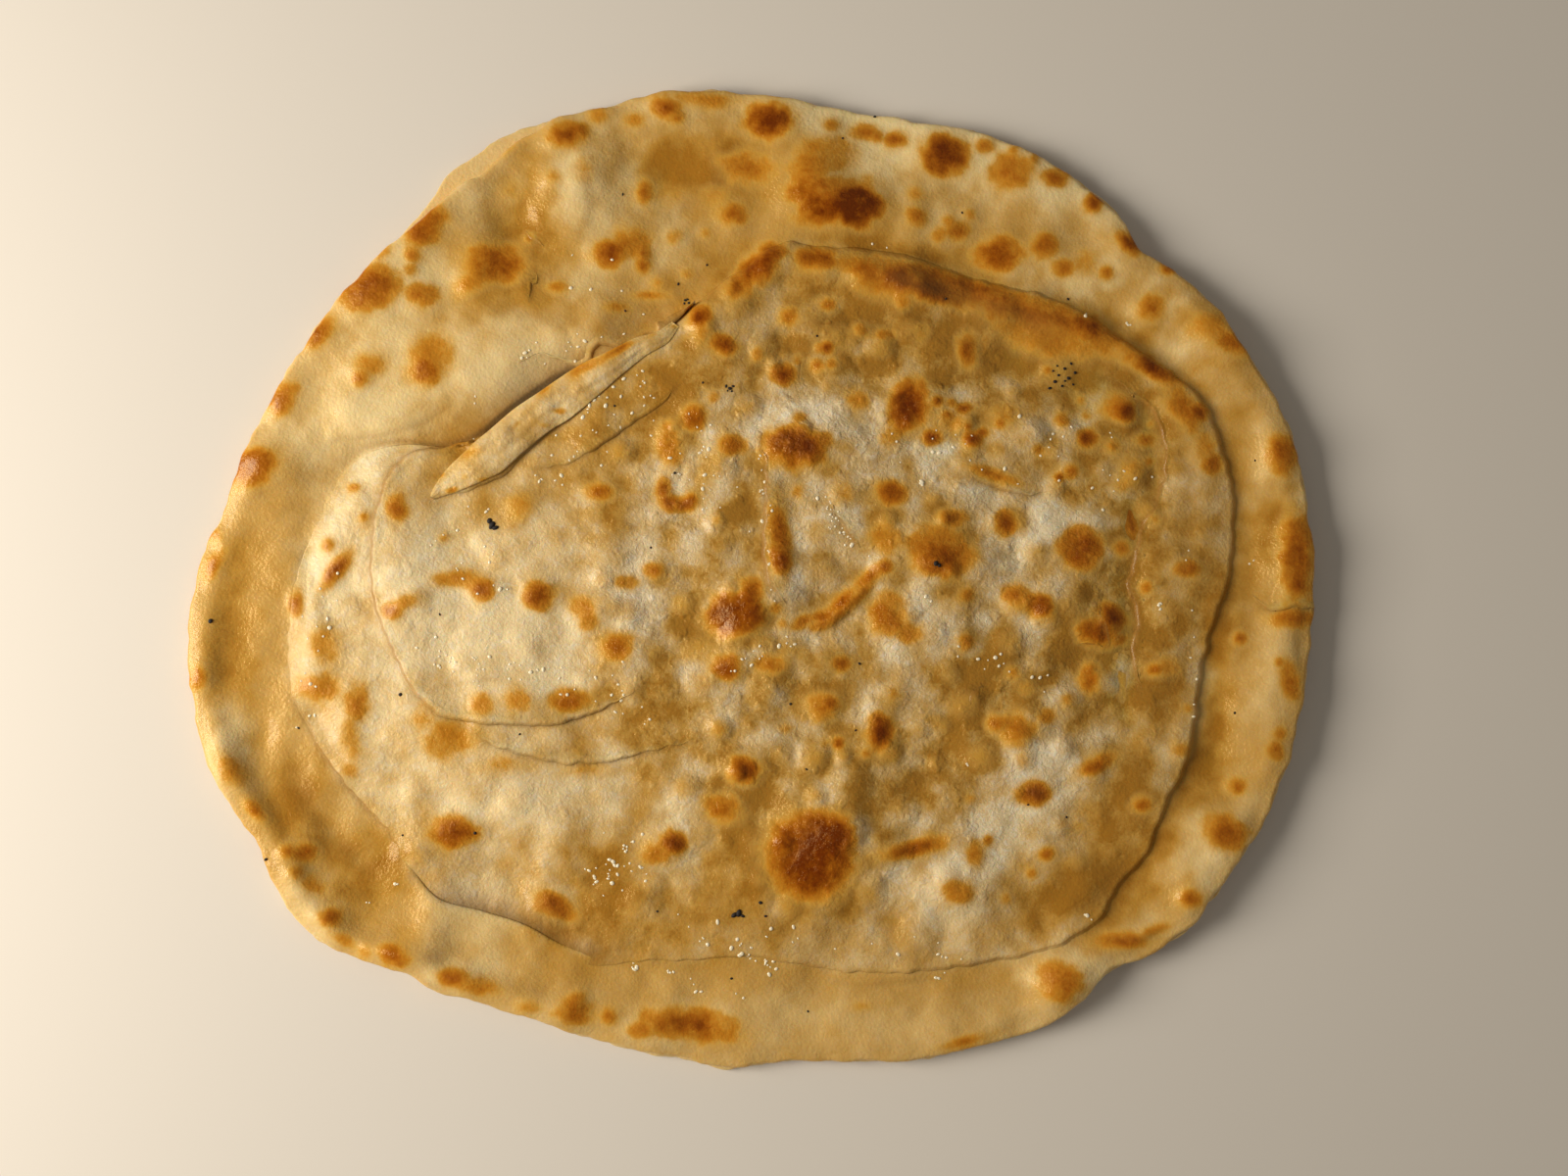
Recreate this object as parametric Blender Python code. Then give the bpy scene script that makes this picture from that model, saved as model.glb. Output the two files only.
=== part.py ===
"""A flaky coiled paratha: one flatbread, rolled from a coil of buttered dough and griddled.

The coil shows as two raised laps, one inside the other, on a thin outer round whose rim
lifts and dips. The bread is one closed solid that lies on its flat middle.
Lengths are in millimetres up to the mesh itself, which is in metres.
"""

import bmesh
import bpy
import numpy as np

MM = 0.001

# Plies and edges
PLY = 2.7  # thickness of the outer round
RIM_ROUNDING = 2.0  # how far in from the rim its rounded edge reaches
RIM_BEAD = 0.7  # extra thickness of the bead that runs inside the rim
BEAD_INSET = 4.5
BEAD_REACH = 2.6
COIL_ROUNDING = 2.4  # the same rounding on the big lap, and on the small one
CORE_ROUNDING = 1.5
MIDDLE_DOME = 1.6  # how much the coiled middle swells
DOME_REACH = 62.0
SWELL_FADE = 6.0  # how far in from the rim the swells are at full height

# The underside is flat out to this share of the radius, and lifts from there to the rim
FLAT_SHARE = 0.66

# Reach of the groove outside the big lap, and of the rolled crest just inside it
GROOVE_OFFSET = 2.4
GROOVE_REACH = 3.4
CREST_INSET = 4.5
CREST_REACH = 4.2

# Mesh
SPOKES = 132
STEP_WALL = 0.35  # sideways run of a lap's steep wall

# The outer edge, anticlockwise from the right: (x, y)
RIM = (
    (120, 8), (117.5, 25), (106, 49.5), (92, 65.5), (84, 71), (79.5, 78.5), (60, 92.5), (35, 99),
    (5, 104.3), (-10, 105.6), (-33, 102), (-56, 94.5), (-66, 87.5), (-74, 76.5), (-94, 56),
    (-109, 27), (-119.5, 0), (-121, -15), (-117, -38), (-106, -56.5), (-98, -72), (-84, -81.5),
    (-70, -87), (-50, -93.3), (-28, -100.8), (-4, -105.5), (8, -104), (36, -103.5), (60, -97),
    (70.5, -90), (79, -82), (93, -74.5), (104, -60), (115.5, -36), (119.5, -14),
)

# The big lap's edge, which dives inwards along the open slit at the upper left
COIL = (
    (103.8, 12), (97.7, 36), (88, 46), (60, 61.5), (30, 69.6), (6, 72.4), (-15, 56), (-45, 39),
    (-58.5, 28.1), (-78, 28.5), (-90, 20), (-99, -4), (-99.4, -25), (-84, -48), (-65.6, -70),
    (-43, -77), (-20, -83), (7, -82), (27, -84.6), (46.5, -82.8), (76, -70), (90.2, -46), (98.3, -13),
)

# The small lap's edge
CORE = (
    (83, 5), (89.2, 26), (86.8, 35.3), (66, 45.5), (15, 54.4), (-16, 40), (-47, 24), (-71, 26),
    (-80.3, 9), (-75, -17.5), (-56, -35), (-40, -39), (0, -37), (30, -38), (60, -33), (82.8, -20),
)

# How far each form rises or lifts round the bread: (degrees, millimetres)
RIM_LIFT = ((0, 3.6), (30, 2.8), (60, 0.9), (90, 1.4), (120, 2.4), (150, 1.4), (180, 1.0),
            (210, 2.3), (232, 1.9), (255, 0.5), (282, 0.8), (302, 2.2), (322, 3.8), (342, 4.0))
COIL_STEP = ((0, 3.1), (30, 2.8), (60, 2.3), (90, 2.5), (110, 2.6), (135, 3.0), (150, 2.8), (159, 0.7),
             (166, 0.3), (190, 0.8), (212, 1.0), (219, 0.6), (226, -0.7), (240, -0.7), (250, 0.2),
             (265, 0.6), (290, 1.1), (306, 1.5), (318, 2.4), (340, 3.0))
CORE_STEP = ((0, 0.8), (30, 1.0), (50, 0.5), (100, 0.4), (140, 0.6), (158, 1.3), (190, 1.2),
             (205, 1.1), (225, 0.7), (270, 0.2), (330, 0.4), (345, 0.8))
GROOVE = ((0, 0.5), (60, 0.3), (100, 0.5), (118, 1.1), (135, 1.7), (152, 1.6), (164, 0.3), (190, 0.1),
          (215, 0.7), (245, 0.1), (300, 0.3), (330, 0.6))
CREST = ((0, 0.5), (30, 1.1), (60, 1.5), (90, 1.6), (112, 0.9), (140, 0.5), (160, 0.0), (200, 0.0),
         (300, 0.0), (330, 0.3))

# Broad hills and hollows: (x, y, reach along x, reach along y, height)
SWELLS = (
    (-72, 52, 17, 15, 1.5), (-40, 84, 9, 11, 1.3), (-58, 80, 6, 12, -1.0), (-45, 66, 7, 7, -0.8),
    (-17, 90, 9, 8, -1.2), (12, 86, 16, 9, 1.4), (60, 80, 15, 9, 0.5), (98, 52, 7, 10, 1.1),
    (62, 51, 16, 5, -1.3), (-100, -50, 13, 12, -1.2), (-85, -66, 13, 9, -1.2), (-68, -78, 7, 8, 0.7),
    (13, -58, 9, 8, 1.4), (41, 4, 9, 8, 0.9), (8, 28, 9, 7, 0.7), (60, -72, 16, 7, -1.1),
    (48, -62, 13, 9, 0.9), (-60, -8, 13, 12, 0.8), (-10, -4, 12, 14, -0.7), (78, 16, 12, 12, -0.5),
)


def round_the_bread(table):
    """A smooth closed function of the angle through (degrees, value) pairs: a cubic
    between neighbours, whose slope at each pair is that from the pair before to the one after."""
    table = np.array(sorted((angle % 360, value) for angle, value in table))
    angles = np.concatenate([table[-2:, 0] - 360, table[:, 0], table[:2, 0] + 360])
    values = np.concatenate([table[-2:, 1], table[:, 1], table[:2, 1]])
    slopes = (values[2:] - values[:-2]) / (angles[2:] - angles[:-2])

    def at(degrees):
        degrees = np.mod(degrees, 360)
        i = np.clip(np.searchsorted(angles, degrees, side="right") - 1, 1, len(angles) - 3)
        gap = angles[i + 1] - angles[i]
        t = (degrees - angles[i]) / gap
        return (values[i] * (2 * t**3 - 3 * t**2 + 1) + values[i + 1] * (3 * t**2 - 2 * t**3)
                + gap * (slopes[i - 1] * (t**3 - 2 * t**2 + t) + slopes[i] * (t**3 - t**2)))

    return at


def edge_curve(points):
    """The distance of an edge from the middle, as a function of the angle."""
    x, y = np.array(points, float).T
    return round_the_bread(zip(np.degrees(np.arctan2(y, x)), np.hypot(x, y)))


def rounded(inset, reach):
    """0 at and outside an edge, rising as a quarter circle to 1 at reach inside it."""
    return np.sqrt(1 - (1 - np.clip(inset / reach, 0, 1)) ** 2)


def bell(distance, reach):
    return np.exp(-((distance / reach) ** 2))


rim_at, coil_at, core_at = edge_curve(RIM), edge_curve(COIL), edge_curve(CORE)
rim_lift, coil_step, core_step = map(round_the_bread, (RIM_LIFT, COIL_STEP, CORE_STEP))
groove_depth, crest_height = map(round_the_bread, (GROOVE, CREST))


def underside(radius, degrees):
    """Height of the bread's lower face: flat in the middle, then lifting to the rim."""
    share = np.clip((radius / rim_at(degrees) - FLAT_SHARE) / (1 - FLAT_SHARE), 0, 1)
    return rim_lift(degrees) * share**1.7


def lap(radius, edge, step, rounding):
    """Height of a lap: its step at the edge, evening out to the mean step towards the middle."""
    evenness = np.clip(radius / edge, 0, 1) ** 2
    return (step.mean() * (1 - evenness) + step * evenness) * rounded(edge - radius, rounding)


def top_side(radius, degrees):
    """Thickness up to the upper face: the outer round, the two laps on it, and the swells."""
    rim, coil, core = rim_at(degrees), coil_at(degrees), core_at(degrees)
    inward = rim - radius
    height = PLY + RIM_BEAD * bell(inward - BEAD_INSET, BEAD_REACH)
    height += lap(radius, coil, coil_step(degrees), COIL_ROUNDING)
    height += lap(radius, core, core_step(degrees), CORE_ROUNDING)
    height += crest_height(degrees) * bell(coil - radius - CREST_INSET, CREST_REACH) * (radius < coil)
    height -= groove_depth(degrees) * bell(radius - coil - GROOVE_OFFSET, GROOVE_REACH) * (radius >= coil)
    height += MIDDLE_DOME * bell(radius, DOME_REACH)
    x, y = radius * np.cos(np.radians(degrees)), radius * np.sin(np.radians(degrees))
    for swell_x, swell_y, reach_x, reach_y, rise in SWELLS:
        swell = np.exp(-((x - swell_x) / reach_x) ** 2 - ((y - swell_y) / reach_y) ** 2)
        height += rise * swell * rounded(inward, SWELL_FADE)
    return height


def section(degrees):
    """The bread's section on each spoke, from near the middle of the top, out over the rim
    and back in underneath: radii and heights, one row for each ring of the mesh."""
    rim, coil, core = rim_at(degrees), coil_at(degrees), core_at(degrees)
    radii = [core * share for share in (0.08, 0.25, 0.42, 0.58, 0.74, 0.87)]
    radii += [core - inset for inset in (3.0, 0.9, 0.2)] + [core + STEP_WALL]
    radii += [core + (coil - core) * share for share in (0.35, 0.65)]
    radii += [coil - inset for inset in (3.5, 1.6, 0.4)] + [coil + STEP_WALL]
    radii += [coil + (rim - coil) * share for share in (0.2, 0.4, 0.6)]
    radii += [rim - inset for inset in (4.5, 2.2, 0.9, 0.25)]
    heights = []
    for radius in radii:
        plump = rounded(rim - radius, RIM_ROUNDING)
        heights.append(underside(radius, degrees) + top_side(radius, degrees) * (1 + plump) / 2)
    edge = top_side(rim, degrees)
    for inset in (0, 0.25, 1.1, 4.0):
        plump = rounded(inset, RIM_ROUNDING)
        radii.append(rim - inset)
        heights.append(underside(rim - inset, degrees) + edge * (1 - plump) / 2)
    for share in (0.86, 0.76, FLAT_SHARE):
        radii.append(rim * share)
        heights.append(underside(rim * share, degrees))
    return np.array(radii), np.array(heights)


def bread_mesh():
    """Rings of vertices joined by quads, with a face across the first ring and the last."""
    degrees = np.arange(SPOKES) * 360 / SPOKES
    radii, heights = section(degrees)
    x, y = radii * np.cos(np.radians(degrees)), radii * np.sin(np.radians(degrees))
    x -= (x.max() + x.min()) / 2
    y -= (y.max() + y.min()) / 2
    bm = bmesh.new()
    rings = [[bm.verts.new(corner) for corner in zip(*ring)] for ring in zip(x * MM, y * MM, heights * MM)]
    for inner, outer in zip(rings, rings[1:]):
        for i in range(SPOKES):
            bm.faces.new((inner[i - 1], outer[i - 1], outer[i], inner[i]))
    middle = bm.faces.new(rings[0])
    bm.faces.new(reversed(rings[-1]))
    bmesh.ops.poke(bm, faces=[middle])
    mesh = bpy.data.meshes.new("paratha")
    bm.to_mesh(mesh)
    bm.free()
    mesh.shade_smooth()
    mesh.set_sharp_from_angle(angle=np.radians(50))
    return mesh


def griddled_dough():
    material = bpy.data.materials.new("griddled dough")
    material.use_nodes = True
    shader = material.node_tree.nodes["Principled BSDF"]
    shader.inputs["Base Color"].default_value = (0.60, 0.38, 0.15, 1)
    shader.inputs["Roughness"].default_value = 0.5
    shader.inputs["Metallic"].default_value = 0
    return material


def main():
    for old in list(bpy.data.objects):
        bpy.data.objects.remove(old)
    bread = bpy.data.objects.new("paratha", bread_mesh())
    bread.data.materials.append(griddled_dough())
    bpy.context.scene.collection.objects.link(bread)


main()
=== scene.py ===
import bpy
import numpy as np
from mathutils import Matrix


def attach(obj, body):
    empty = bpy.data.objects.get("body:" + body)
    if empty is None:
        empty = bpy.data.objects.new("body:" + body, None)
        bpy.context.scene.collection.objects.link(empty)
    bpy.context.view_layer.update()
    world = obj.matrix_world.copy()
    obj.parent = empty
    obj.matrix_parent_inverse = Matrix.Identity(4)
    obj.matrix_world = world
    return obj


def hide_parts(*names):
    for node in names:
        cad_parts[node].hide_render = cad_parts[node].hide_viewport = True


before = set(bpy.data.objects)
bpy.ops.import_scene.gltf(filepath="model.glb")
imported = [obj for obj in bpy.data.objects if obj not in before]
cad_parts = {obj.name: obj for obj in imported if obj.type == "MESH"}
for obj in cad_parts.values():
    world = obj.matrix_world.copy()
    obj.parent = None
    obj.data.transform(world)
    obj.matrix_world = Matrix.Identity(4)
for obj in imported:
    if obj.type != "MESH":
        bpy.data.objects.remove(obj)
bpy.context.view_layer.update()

# A coiled, flaky paratha fresh off the griddle. All lengths below are millimetres in the part's
# own frame, x to the right, y away and z up; mm turns them to metres when a mesh is made.
mm = 0.001


def smooth(low, high, value):
    # 0 below low, 1 above high, with a soft S between them
    t = np.clip((value - low) / (high - low), 0, 1)
    return t * t * (3 - 2 * t)


def bell(distance, reach):
    # a Gaussian: 1 at no distance, nearly 0 from twice the reach
    return np.exp(-((distance / reach) ** 2))


def rounded(inset, reach):
    # a quarter circle: 0 at an edge, 1 from reach inside it
    return np.sqrt(1 - (1 - np.clip(inset / reach, 0, 1)) ** 2)


def aroundTheBread(pairs):
    # a smooth closed function of the angle through (degrees, value) pairs: cubics between
    # neighbours, whose slope at a pair is that from the pair before it to the one after it
    table = np.array(sorted((angle % 360, value) for angle, value in pairs))
    angles = np.concatenate([table[-2:, 0] - 360, table[:, 0], table[:2, 0] + 360])
    values = np.concatenate([table[-2:, 1], table[:, 1], table[:2, 1]])
    slopes = (values[2:] - values[:-2]) / (angles[2:] - angles[:-2])

    def at(degrees):
        degrees = np.mod(degrees, 360)
        i = np.clip(np.searchsorted(angles, degrees, side="right") - 1, 1, len(angles) - 3)
        gap = angles[i + 1] - angles[i]
        t = (degrees - angles[i]) / gap
        return (values[i] * (2 * t**3 - 3 * t**2 + 1) + values[i + 1] * (3 * t**2 - 2 * t**3)
                + gap * (slopes[i - 1] * (t**3 - 2 * t**2 + t) + slopes[i] * (t**3 - t**2)))

    return at


def edgeCurve(points):
    # an edge's distance from the middle, as a function of the angle
    x, y = np.array(points, float).T
    return aroundTheBread(zip(np.degrees(np.arctan2(y, x)), np.hypot(x, y)))


def waves(x, y, length, seed, count=18):
    # an even, seamless roughness, nearly always from -1 to 1: the sum of straight waves of
    # about the given length that cross in all directions, scaled by how many there are
    draw = np.random.default_rng(seed)
    turn = draw.uniform(0, 2 * np.pi, count)
    number = 2 * np.pi / (length * draw.uniform(0.65, 1.6, count))
    start = draw.uniform(0, 2 * np.pi, count)
    total = np.zeros_like(x)
    for angle, k, phase in zip(turn, number, start):
        total += np.sin(k * (x * np.cos(angle) + y * np.sin(angle)) + phase)
    return total * np.sqrt(2 / count) / 1.6


def waved(base, x, y, parts):
    # base with waves added to it, (length, seed, height) for each
    for length, seed, height in parts:
        base = base + height * waves(x, y, length, seed)
    return base


def domes(x, y, spacing, seed):
    # scattered round blisters from 0 to 1 high: one in each cell of a square grid, somewhere in
    # it, with a radius of 0.25 to 0.65 of the spacing, many of them nearly flat. A dome's height
    # is 1 - (r / radius)^2 of its top
    draw = np.random.default_rng(seed).uniform(size=(4, 64, 64))
    column, row = np.floor(x / spacing).astype(int), np.floor(y / spacing).astype(int)
    total = np.zeros_like(x)
    for i, j in np.ndindex(3, 3):
        cellX, cellY = column + i - 1, row + j - 1
        pushX, pushY, wide, tall = draw[:, cellX % 64, cellY % 64]
        r = np.hypot(x / spacing - cellX - pushX, y / spacing - cellY - pushY) / (0.25 + 0.4 * wide)
        total = np.maximum(total, tall**1.5 * np.clip(1 - r**2, 0, 1))
    return total


def evenly(values, along):
    # the value at a share of the way along, for values given at even steps
    return np.interp(along, np.linspace(0, 1, len(values)), values)


def smoothPath(points, step=0.8):
    # a Catmull-Rom curve through the points, cut into steps of even length
    p = np.array(points, float)
    p = np.concatenate([[2 * p[0] - p[1]], p, [2 * p[-1] - p[-2]]])
    t = np.linspace(0, 1, 12, endpoint=False)[:, None]
    pieces = []
    for a, b, c, d in zip(p, p[1:], p[2:], p[3:]):
        pieces.append(0.5 * (2 * b + (c - a) * t + (2 * a - 5 * b + 4 * c - d) * t**2
                             + (3 * b - a - 3 * c + d) * t**3))
    dense = np.concatenate(pieces + [p[-2:-1]])
    along = np.concatenate([[0], np.cumsum(np.hypot(*np.diff(dense, axis=0).T))])
    even = np.linspace(0, along[-1], max(int(along[-1] / step), 4))
    return np.stack([np.interp(even, along, dense[:, 0]), np.interp(even, along, dense[:, 1])], -1)


def nearPath(x, y, path, reach):
    # for the points within reach of a path: which they are, their distance from it (positive
    # on its left-hand side) and how far along it they lie, from 0 to 1
    low, high = path.min(0) - reach, path.max(0) + reach
    near = np.flatnonzero((x > low[0]) & (x < high[0]) & (y > low[1]) & (y < high[1]))
    start, run = path[:-1], np.diff(path, axis=0)
    px, py = x[near][:, None] - start[:, 0], y[near][:, None] - start[:, 1]
    share = np.clip((px * run[:, 0] + py * run[:, 1]) / (run**2).sum(1), 0, 1)
    dx, dy = px - share * run[:, 0], py - share * run[:, 1]
    gap = dx**2 + dy**2
    best = gap.argmin(1)
    row = np.arange(len(near))
    side = np.sign(run[best, 0] * py[row, best] - run[best, 1] * px[row, best])
    distance = np.sqrt(gap[row, best])
    keep = distance < reach
    along = (best + share[row, best]) / len(run)
    return near[keep], (side * distance)[keep], along[keep]


form = {
    "ply": 2.7,  # thickness of the outer round, both plies
    "underPly": 1.3,  # thickness of the lower one
    "leastCover": 0.35,  # the upper one is never thinner than this
    "beadInset": 4.5,  # how far inside the rim its bead runs
    "beadReach": 2.8,
    "middleDome": 1.2,
    "domeReach": 58.0,
    "rollReach": 8.0,  # how far inside its edge the coil starts to roll down
    "flatShare": 0.66,  # the underside is flat out to this share of the radius
    "liftPower": 1.7,
    "pressFrom": 6.9,  # what would stand higher is pressed down to within pressRoom of it
    "pressRoom": 0.75,
}

# the outer edge, anticlockwise from the right
rimAt = edgeCurve((
    (120, 8), (118, 23), (113.5, 37), (106, 49.5), (98, 60.5), (90, 67), (84, 71), (79.5, 78.5),
    (71, 86), (60, 92.5), (49, 96.6), (35, 99), (20, 101.5), (5, 104.3), (-10, 105.6), (-20, 105),
    (-33, 101.8), (-45, 99), (-56, 94.2), (-66, 87), (-73, 77.5), (-84, 66.5), (-94, 55),
    (-102.5, 41), (-109.5, 27.5), (-114, 14), (-119, 3), (-121, -12), (-120.5, -24), (-116.8, -38.4),
    (-112, -48), (-106, -56.5), (-100, -68.5), (-95, -75.5), (-85, -81.2), (-73.5, -84.7), (-69, -87.6),
    (-60, -90.4), (-50, -93.5), (-40, -97), (-28, -100.8), (-14, -103.5), (-4, -105.5), (6, -104),
    (22, -103.7), (36, -103.3), (50, -99.8), (62, -96), (70.5, -90), (76.5, -83.7), (83, -81.5),
    (93.5, -74.4), (98, -68.5), (104, -60), (111, -48), (115.3, -36), (118.7, -20), (120, -8),
))

# the coil's edge: the right-hand lap, the ridge, the slit, the soft band on the left, then
# under the lip at the lower left and along the crease at the bottom
coilAt = edgeCurve((
    (103.7, 11), (103.3, 19), (101.2, 26.8), (98.5, 35), (94.2, 40.6), (86.7, 46), (79.8, 50.6),
    (73.5, 55.4), (63.8, 60), (55, 62.3), (46.5, 64.6), (35, 68.5), (24, 70.9), (14, 71.4), (8, 72.4),
    (3, 70.4), (-1, 67.1), (-5.1, 64.5), (-9.7, 60.9), (-13.5, 57.6), (-18, 54.2), (-24.5, 50.6),
    (-35.8, 44.8), (-45, 38.5), (-52, 33.4), (-57, 30), (-61.5, 28.4), (-66, 28), (-74, 28.5), (-82, 27),
    (-88, 22.5), (-93.5, 12), (-97, 4), (-99.5, -10), (-99.2, -23.6), (-95, -32.5), (-91.8, -38.4),
    (-84.1, -48.2), (-77.5, -55.2), (-73.8, -62.8), (-67, -69), (-57.5, -72), (-48.2, -74.9),
    (-40.4, -79), (-32, -81.3), (-16, -82), (0.5, -81.2), (11.3, -83.2), (22, -84.8), (35, -84.3),
    (49.3, -82.5), (62, -79.5), (74, -73.3), (78, -66.4), (83.6, -60.4), (87.9, -50), (93.1, -39.8),
    (96.5, -20.8), (99.1, -9.8), (102.3, -0.6),
))

# how high things stand, round the bread: (degrees, millimetres)
rimLift = aroundTheBread((
    (0, 3.6), (30, 2.8), (60, 1.5), (90, 1.7), (120, 2.4), (150, 1.4), (180, 1.0), (210, 2.3), (232, 1.9),
    (255, 0.5), (282, 0.8), (302, 2.2), (322, 3.8), (342, 4.0),
))
coilRise = aroundTheBread((
    (0, 0.55), (30, 0.5), (60, 0.55), (85, 0.9), (102, 1.5), (110, 1.6), (125, 1.4), (140, 1.2),
    (152, 0.8), (158, 0.15), (163, 0.05), (172, 0.05), (180, 0.05), (192, 0.1), (200, 0.2), (208, 0.2),
    (217, 0.1), (224, -0.55), (240, -0.55), (250, 0.05), (262, 0.3), (275, 0.5), (290, 0.5), (306, 0.5),
    (318, 0.55), (340, 0.6),
))
rollDown = aroundTheBread((
    (0, 0.6), (30, 0.9), (60, 1.3), (90, 1.3), (102, 0.9), (115, 0.2), (140, 0.0), (158, 0.2), (166, 1.1),
    (180, 1.2), (192, 1.0), (204, 0.8), (215, 0.5), (228, 0.1), (250, 0.1), (270, 0.3), (290, 0.5),
    (318, 0.7), (340, 0.6),
))
beadHeight = aroundTheBread((
    (0, 0.5), (40, 0.5), (60, -0.1), (80, -0.3), (100, -0.1), (130, 0.2), (170, 0.3), (215, 1.1),
    (235, 1.0), (260, 0.5), (300, 0.6), (330, 0.6),
))
grooveDepth = aroundTheBread((
    (0, 0.6), (30, 0.5), (60, 0.2), (85, 0.1), (100, 0.6), (118, 1.5), (135, 2.0), (150, 1.9), (159, 0.7),
    (170, 0.15), (215, 0.1), (245, 0.1), (275, 0.3), (300, 0.4), (330, 0.8), (345, 0.9),
))
lipShare = aroundTheBread((
    (0, 0), (90, 0), (180, 0), (210, 0), (221, 0.1), (227, 1), (246, 1), (253, 0.1), (262, 0),
))

# broad hills and hollows: (x, y, reach along x, reach along y, height)
swells = (
    # top left, the sheet above the slit and the pleat
    (-46, 53, 20, 9, 1.7), (-78, 48, 12, 14, 0.7), (-66, 37, 13, 9, 0.8), (-62, 82, 7, 12, 0.7),
    (-51.5, 79, 5.5, 11, -1.1), (-40, 83, 8, 10, 0.9), (-52, 46, 9, 6, 0.7), (-17, 90, 9, 8, -1.3),
    (-88, 35, 9, 9, 0.6),
    # top right and the valley below the ridge
    (12, 86, 16, 9, 0.6), (34, 84, 10, 9, -0.4), (60, 82, 15, 9, 0.3), (98, 52, 7, 10, 1.0),
    (60, 47, 22, 7, -1.1),
    # left and lower left
    (-105, -36, 6, 9, -0.7), (-98, -50, 8, 9, -1.3), (-88, -62, 9, 7, -1.3), (-76, -71, 8, 5, -0.9),
    (-68, -79, 7, 7, 0.6), (-57, -10, 14, 13, 1.1), (-50, -50, 22, 12, 0.6), (-75, 16, 6, 10, 0.35),
    (-86, 8, 7, 14, 0.6), (-30, -42, 9, 12, -0.5),
    # middle
    (41, 4, 9, 8, 0.7), (8, 30, 10, 8, 0.6), (-10, -6, 10, 12, -0.9), (-30, 20, 16, 7, -0.5),
    (-20, 24, 9, 9, 0.4), (4, 12, 8, 12, 0.5), (24, -4, 8, 10, -0.6), (44, -14, 9, 8, 0.6),
    # right and lower right
    (78, 16, 12, 12, -0.4), (73, -16, 10, 9, -0.8), (60, -72, 16, 7, -1.0), (48, -62, 13, 9, 0.8),
    (60, -42, 10, 8, 0.7), (75, -50, 9, 10, -0.7), (20, -50, 20, 12, 0.4), (2, -52, 8, 10, -0.5),
    (40, -40, 9, 12, -0.6), (99, -30, 4, 16, -0.9), (105, 8, 4, 14, -0.6),
    # the rim's blisters on the right
    (111.5, 23, 4, 7, 0.8), (114, 3, 4.5, 9, 0.8), (112.5, -13, 3.5, 6, 0.9), (110.5, -25, 3.5, 8, 0.9),
    (108.5, -38, 3.5, 6, 0.8), (99.5, -54, 6, 6, 0.8), (92, -66, 6, 5, 0.6), (66, -85, 8, 5, 0.9),
    (101, 48, 5, 6, 0.6), (80, 70, 5, 6, 0.6),
)


def polar(x, y):
    return np.hypot(x, y), np.degrees(np.arctan2(y, x))


def pressed(height):
    # above pressFrom a height grows ever more slowly, as a tanh, by pressRoom at most
    limit, room = form["pressFrom"], form["pressRoom"]
    return np.where(height > limit, limit + room * np.tanh((height - limit) / room), height)


def underside(x, y):
    # flat in the middle, then lifting to the rim as a power of the way there
    radius, degrees = polar(x, y)
    share = np.clip((radius / rimAt(degrees) - form["flatShare"]) / (1 - form["flatShare"]), 0, 1)
    return rimLift(degrees) * share ** form["liftPower"]


def broadSwells(x, y):
    # the sum of the swells, each a bell along both axes, levelling out towards the rim
    radius, degrees = polar(x, y)
    total = np.zeros_like(x)
    for middleX, middleY, reachX, reachY, rise in swells:
        total += rise * np.exp(-((x - middleX) / reachX) ** 2 - ((y - middleY) / reachY) ** 2)
    return total * rounded(rimAt(degrees) - radius, 6)


def outerTop(x, y):
    # the outer round's upper face: a ply, its bead and the groove along the coil
    radius, degrees = polar(x, y)
    coil = coilAt(degrees)
    fromBead = rimAt(degrees) - radius - form["beadInset"]
    height = form["ply"] + beadHeight(degrees) * bell(fromBead, form["beadReach"])
    atSlit = bell(np.mod(degrees, 360) - 138, 20)
    height -= grooveDepth(degrees) * bell(radius - coil - 2.0 * (1 - atSlit), 3.6 + 3.4 * atSlit)
    height += form["middleDome"] * bell(radius, form["domeReach"]) + broadSwells(x, y)
    # at least the lower ply and a little more: a soft step from the one height to the other
    least = form["underPly"] + form["leastCover"]
    return underside(x, y) + least + np.logaddexp(4 * (height - least), 0) / 4


# how far the coil's middle stands above the ply: its edge's mean rise and a little more
meanRise = (coilRise(np.arange(360.0)) + rollDown(np.arange(360.0))).mean() + 0.2


def coilTop(x, y):
    # the coil's upper face: one height in the middle evens out to its rise near the edge, where
    # it rolls down over the last few millimetres
    radius, degrees = polar(x, y)
    coil = coilAt(degrees)
    even = np.clip(radius / coil, 0, 1) ** 2
    height = form["ply"] + meanRise * (1 - even) + (coilRise(degrees) + rollDown(degrees)) * even
    height -= rollDown(degrees) * smooth(form["rollReach"], 0, coil - radius) ** 1.2
    height += form["middleDome"] * bell(radius, form["domeReach"])
    return underside(x, y) + height + broadSwells(x, y)


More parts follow.
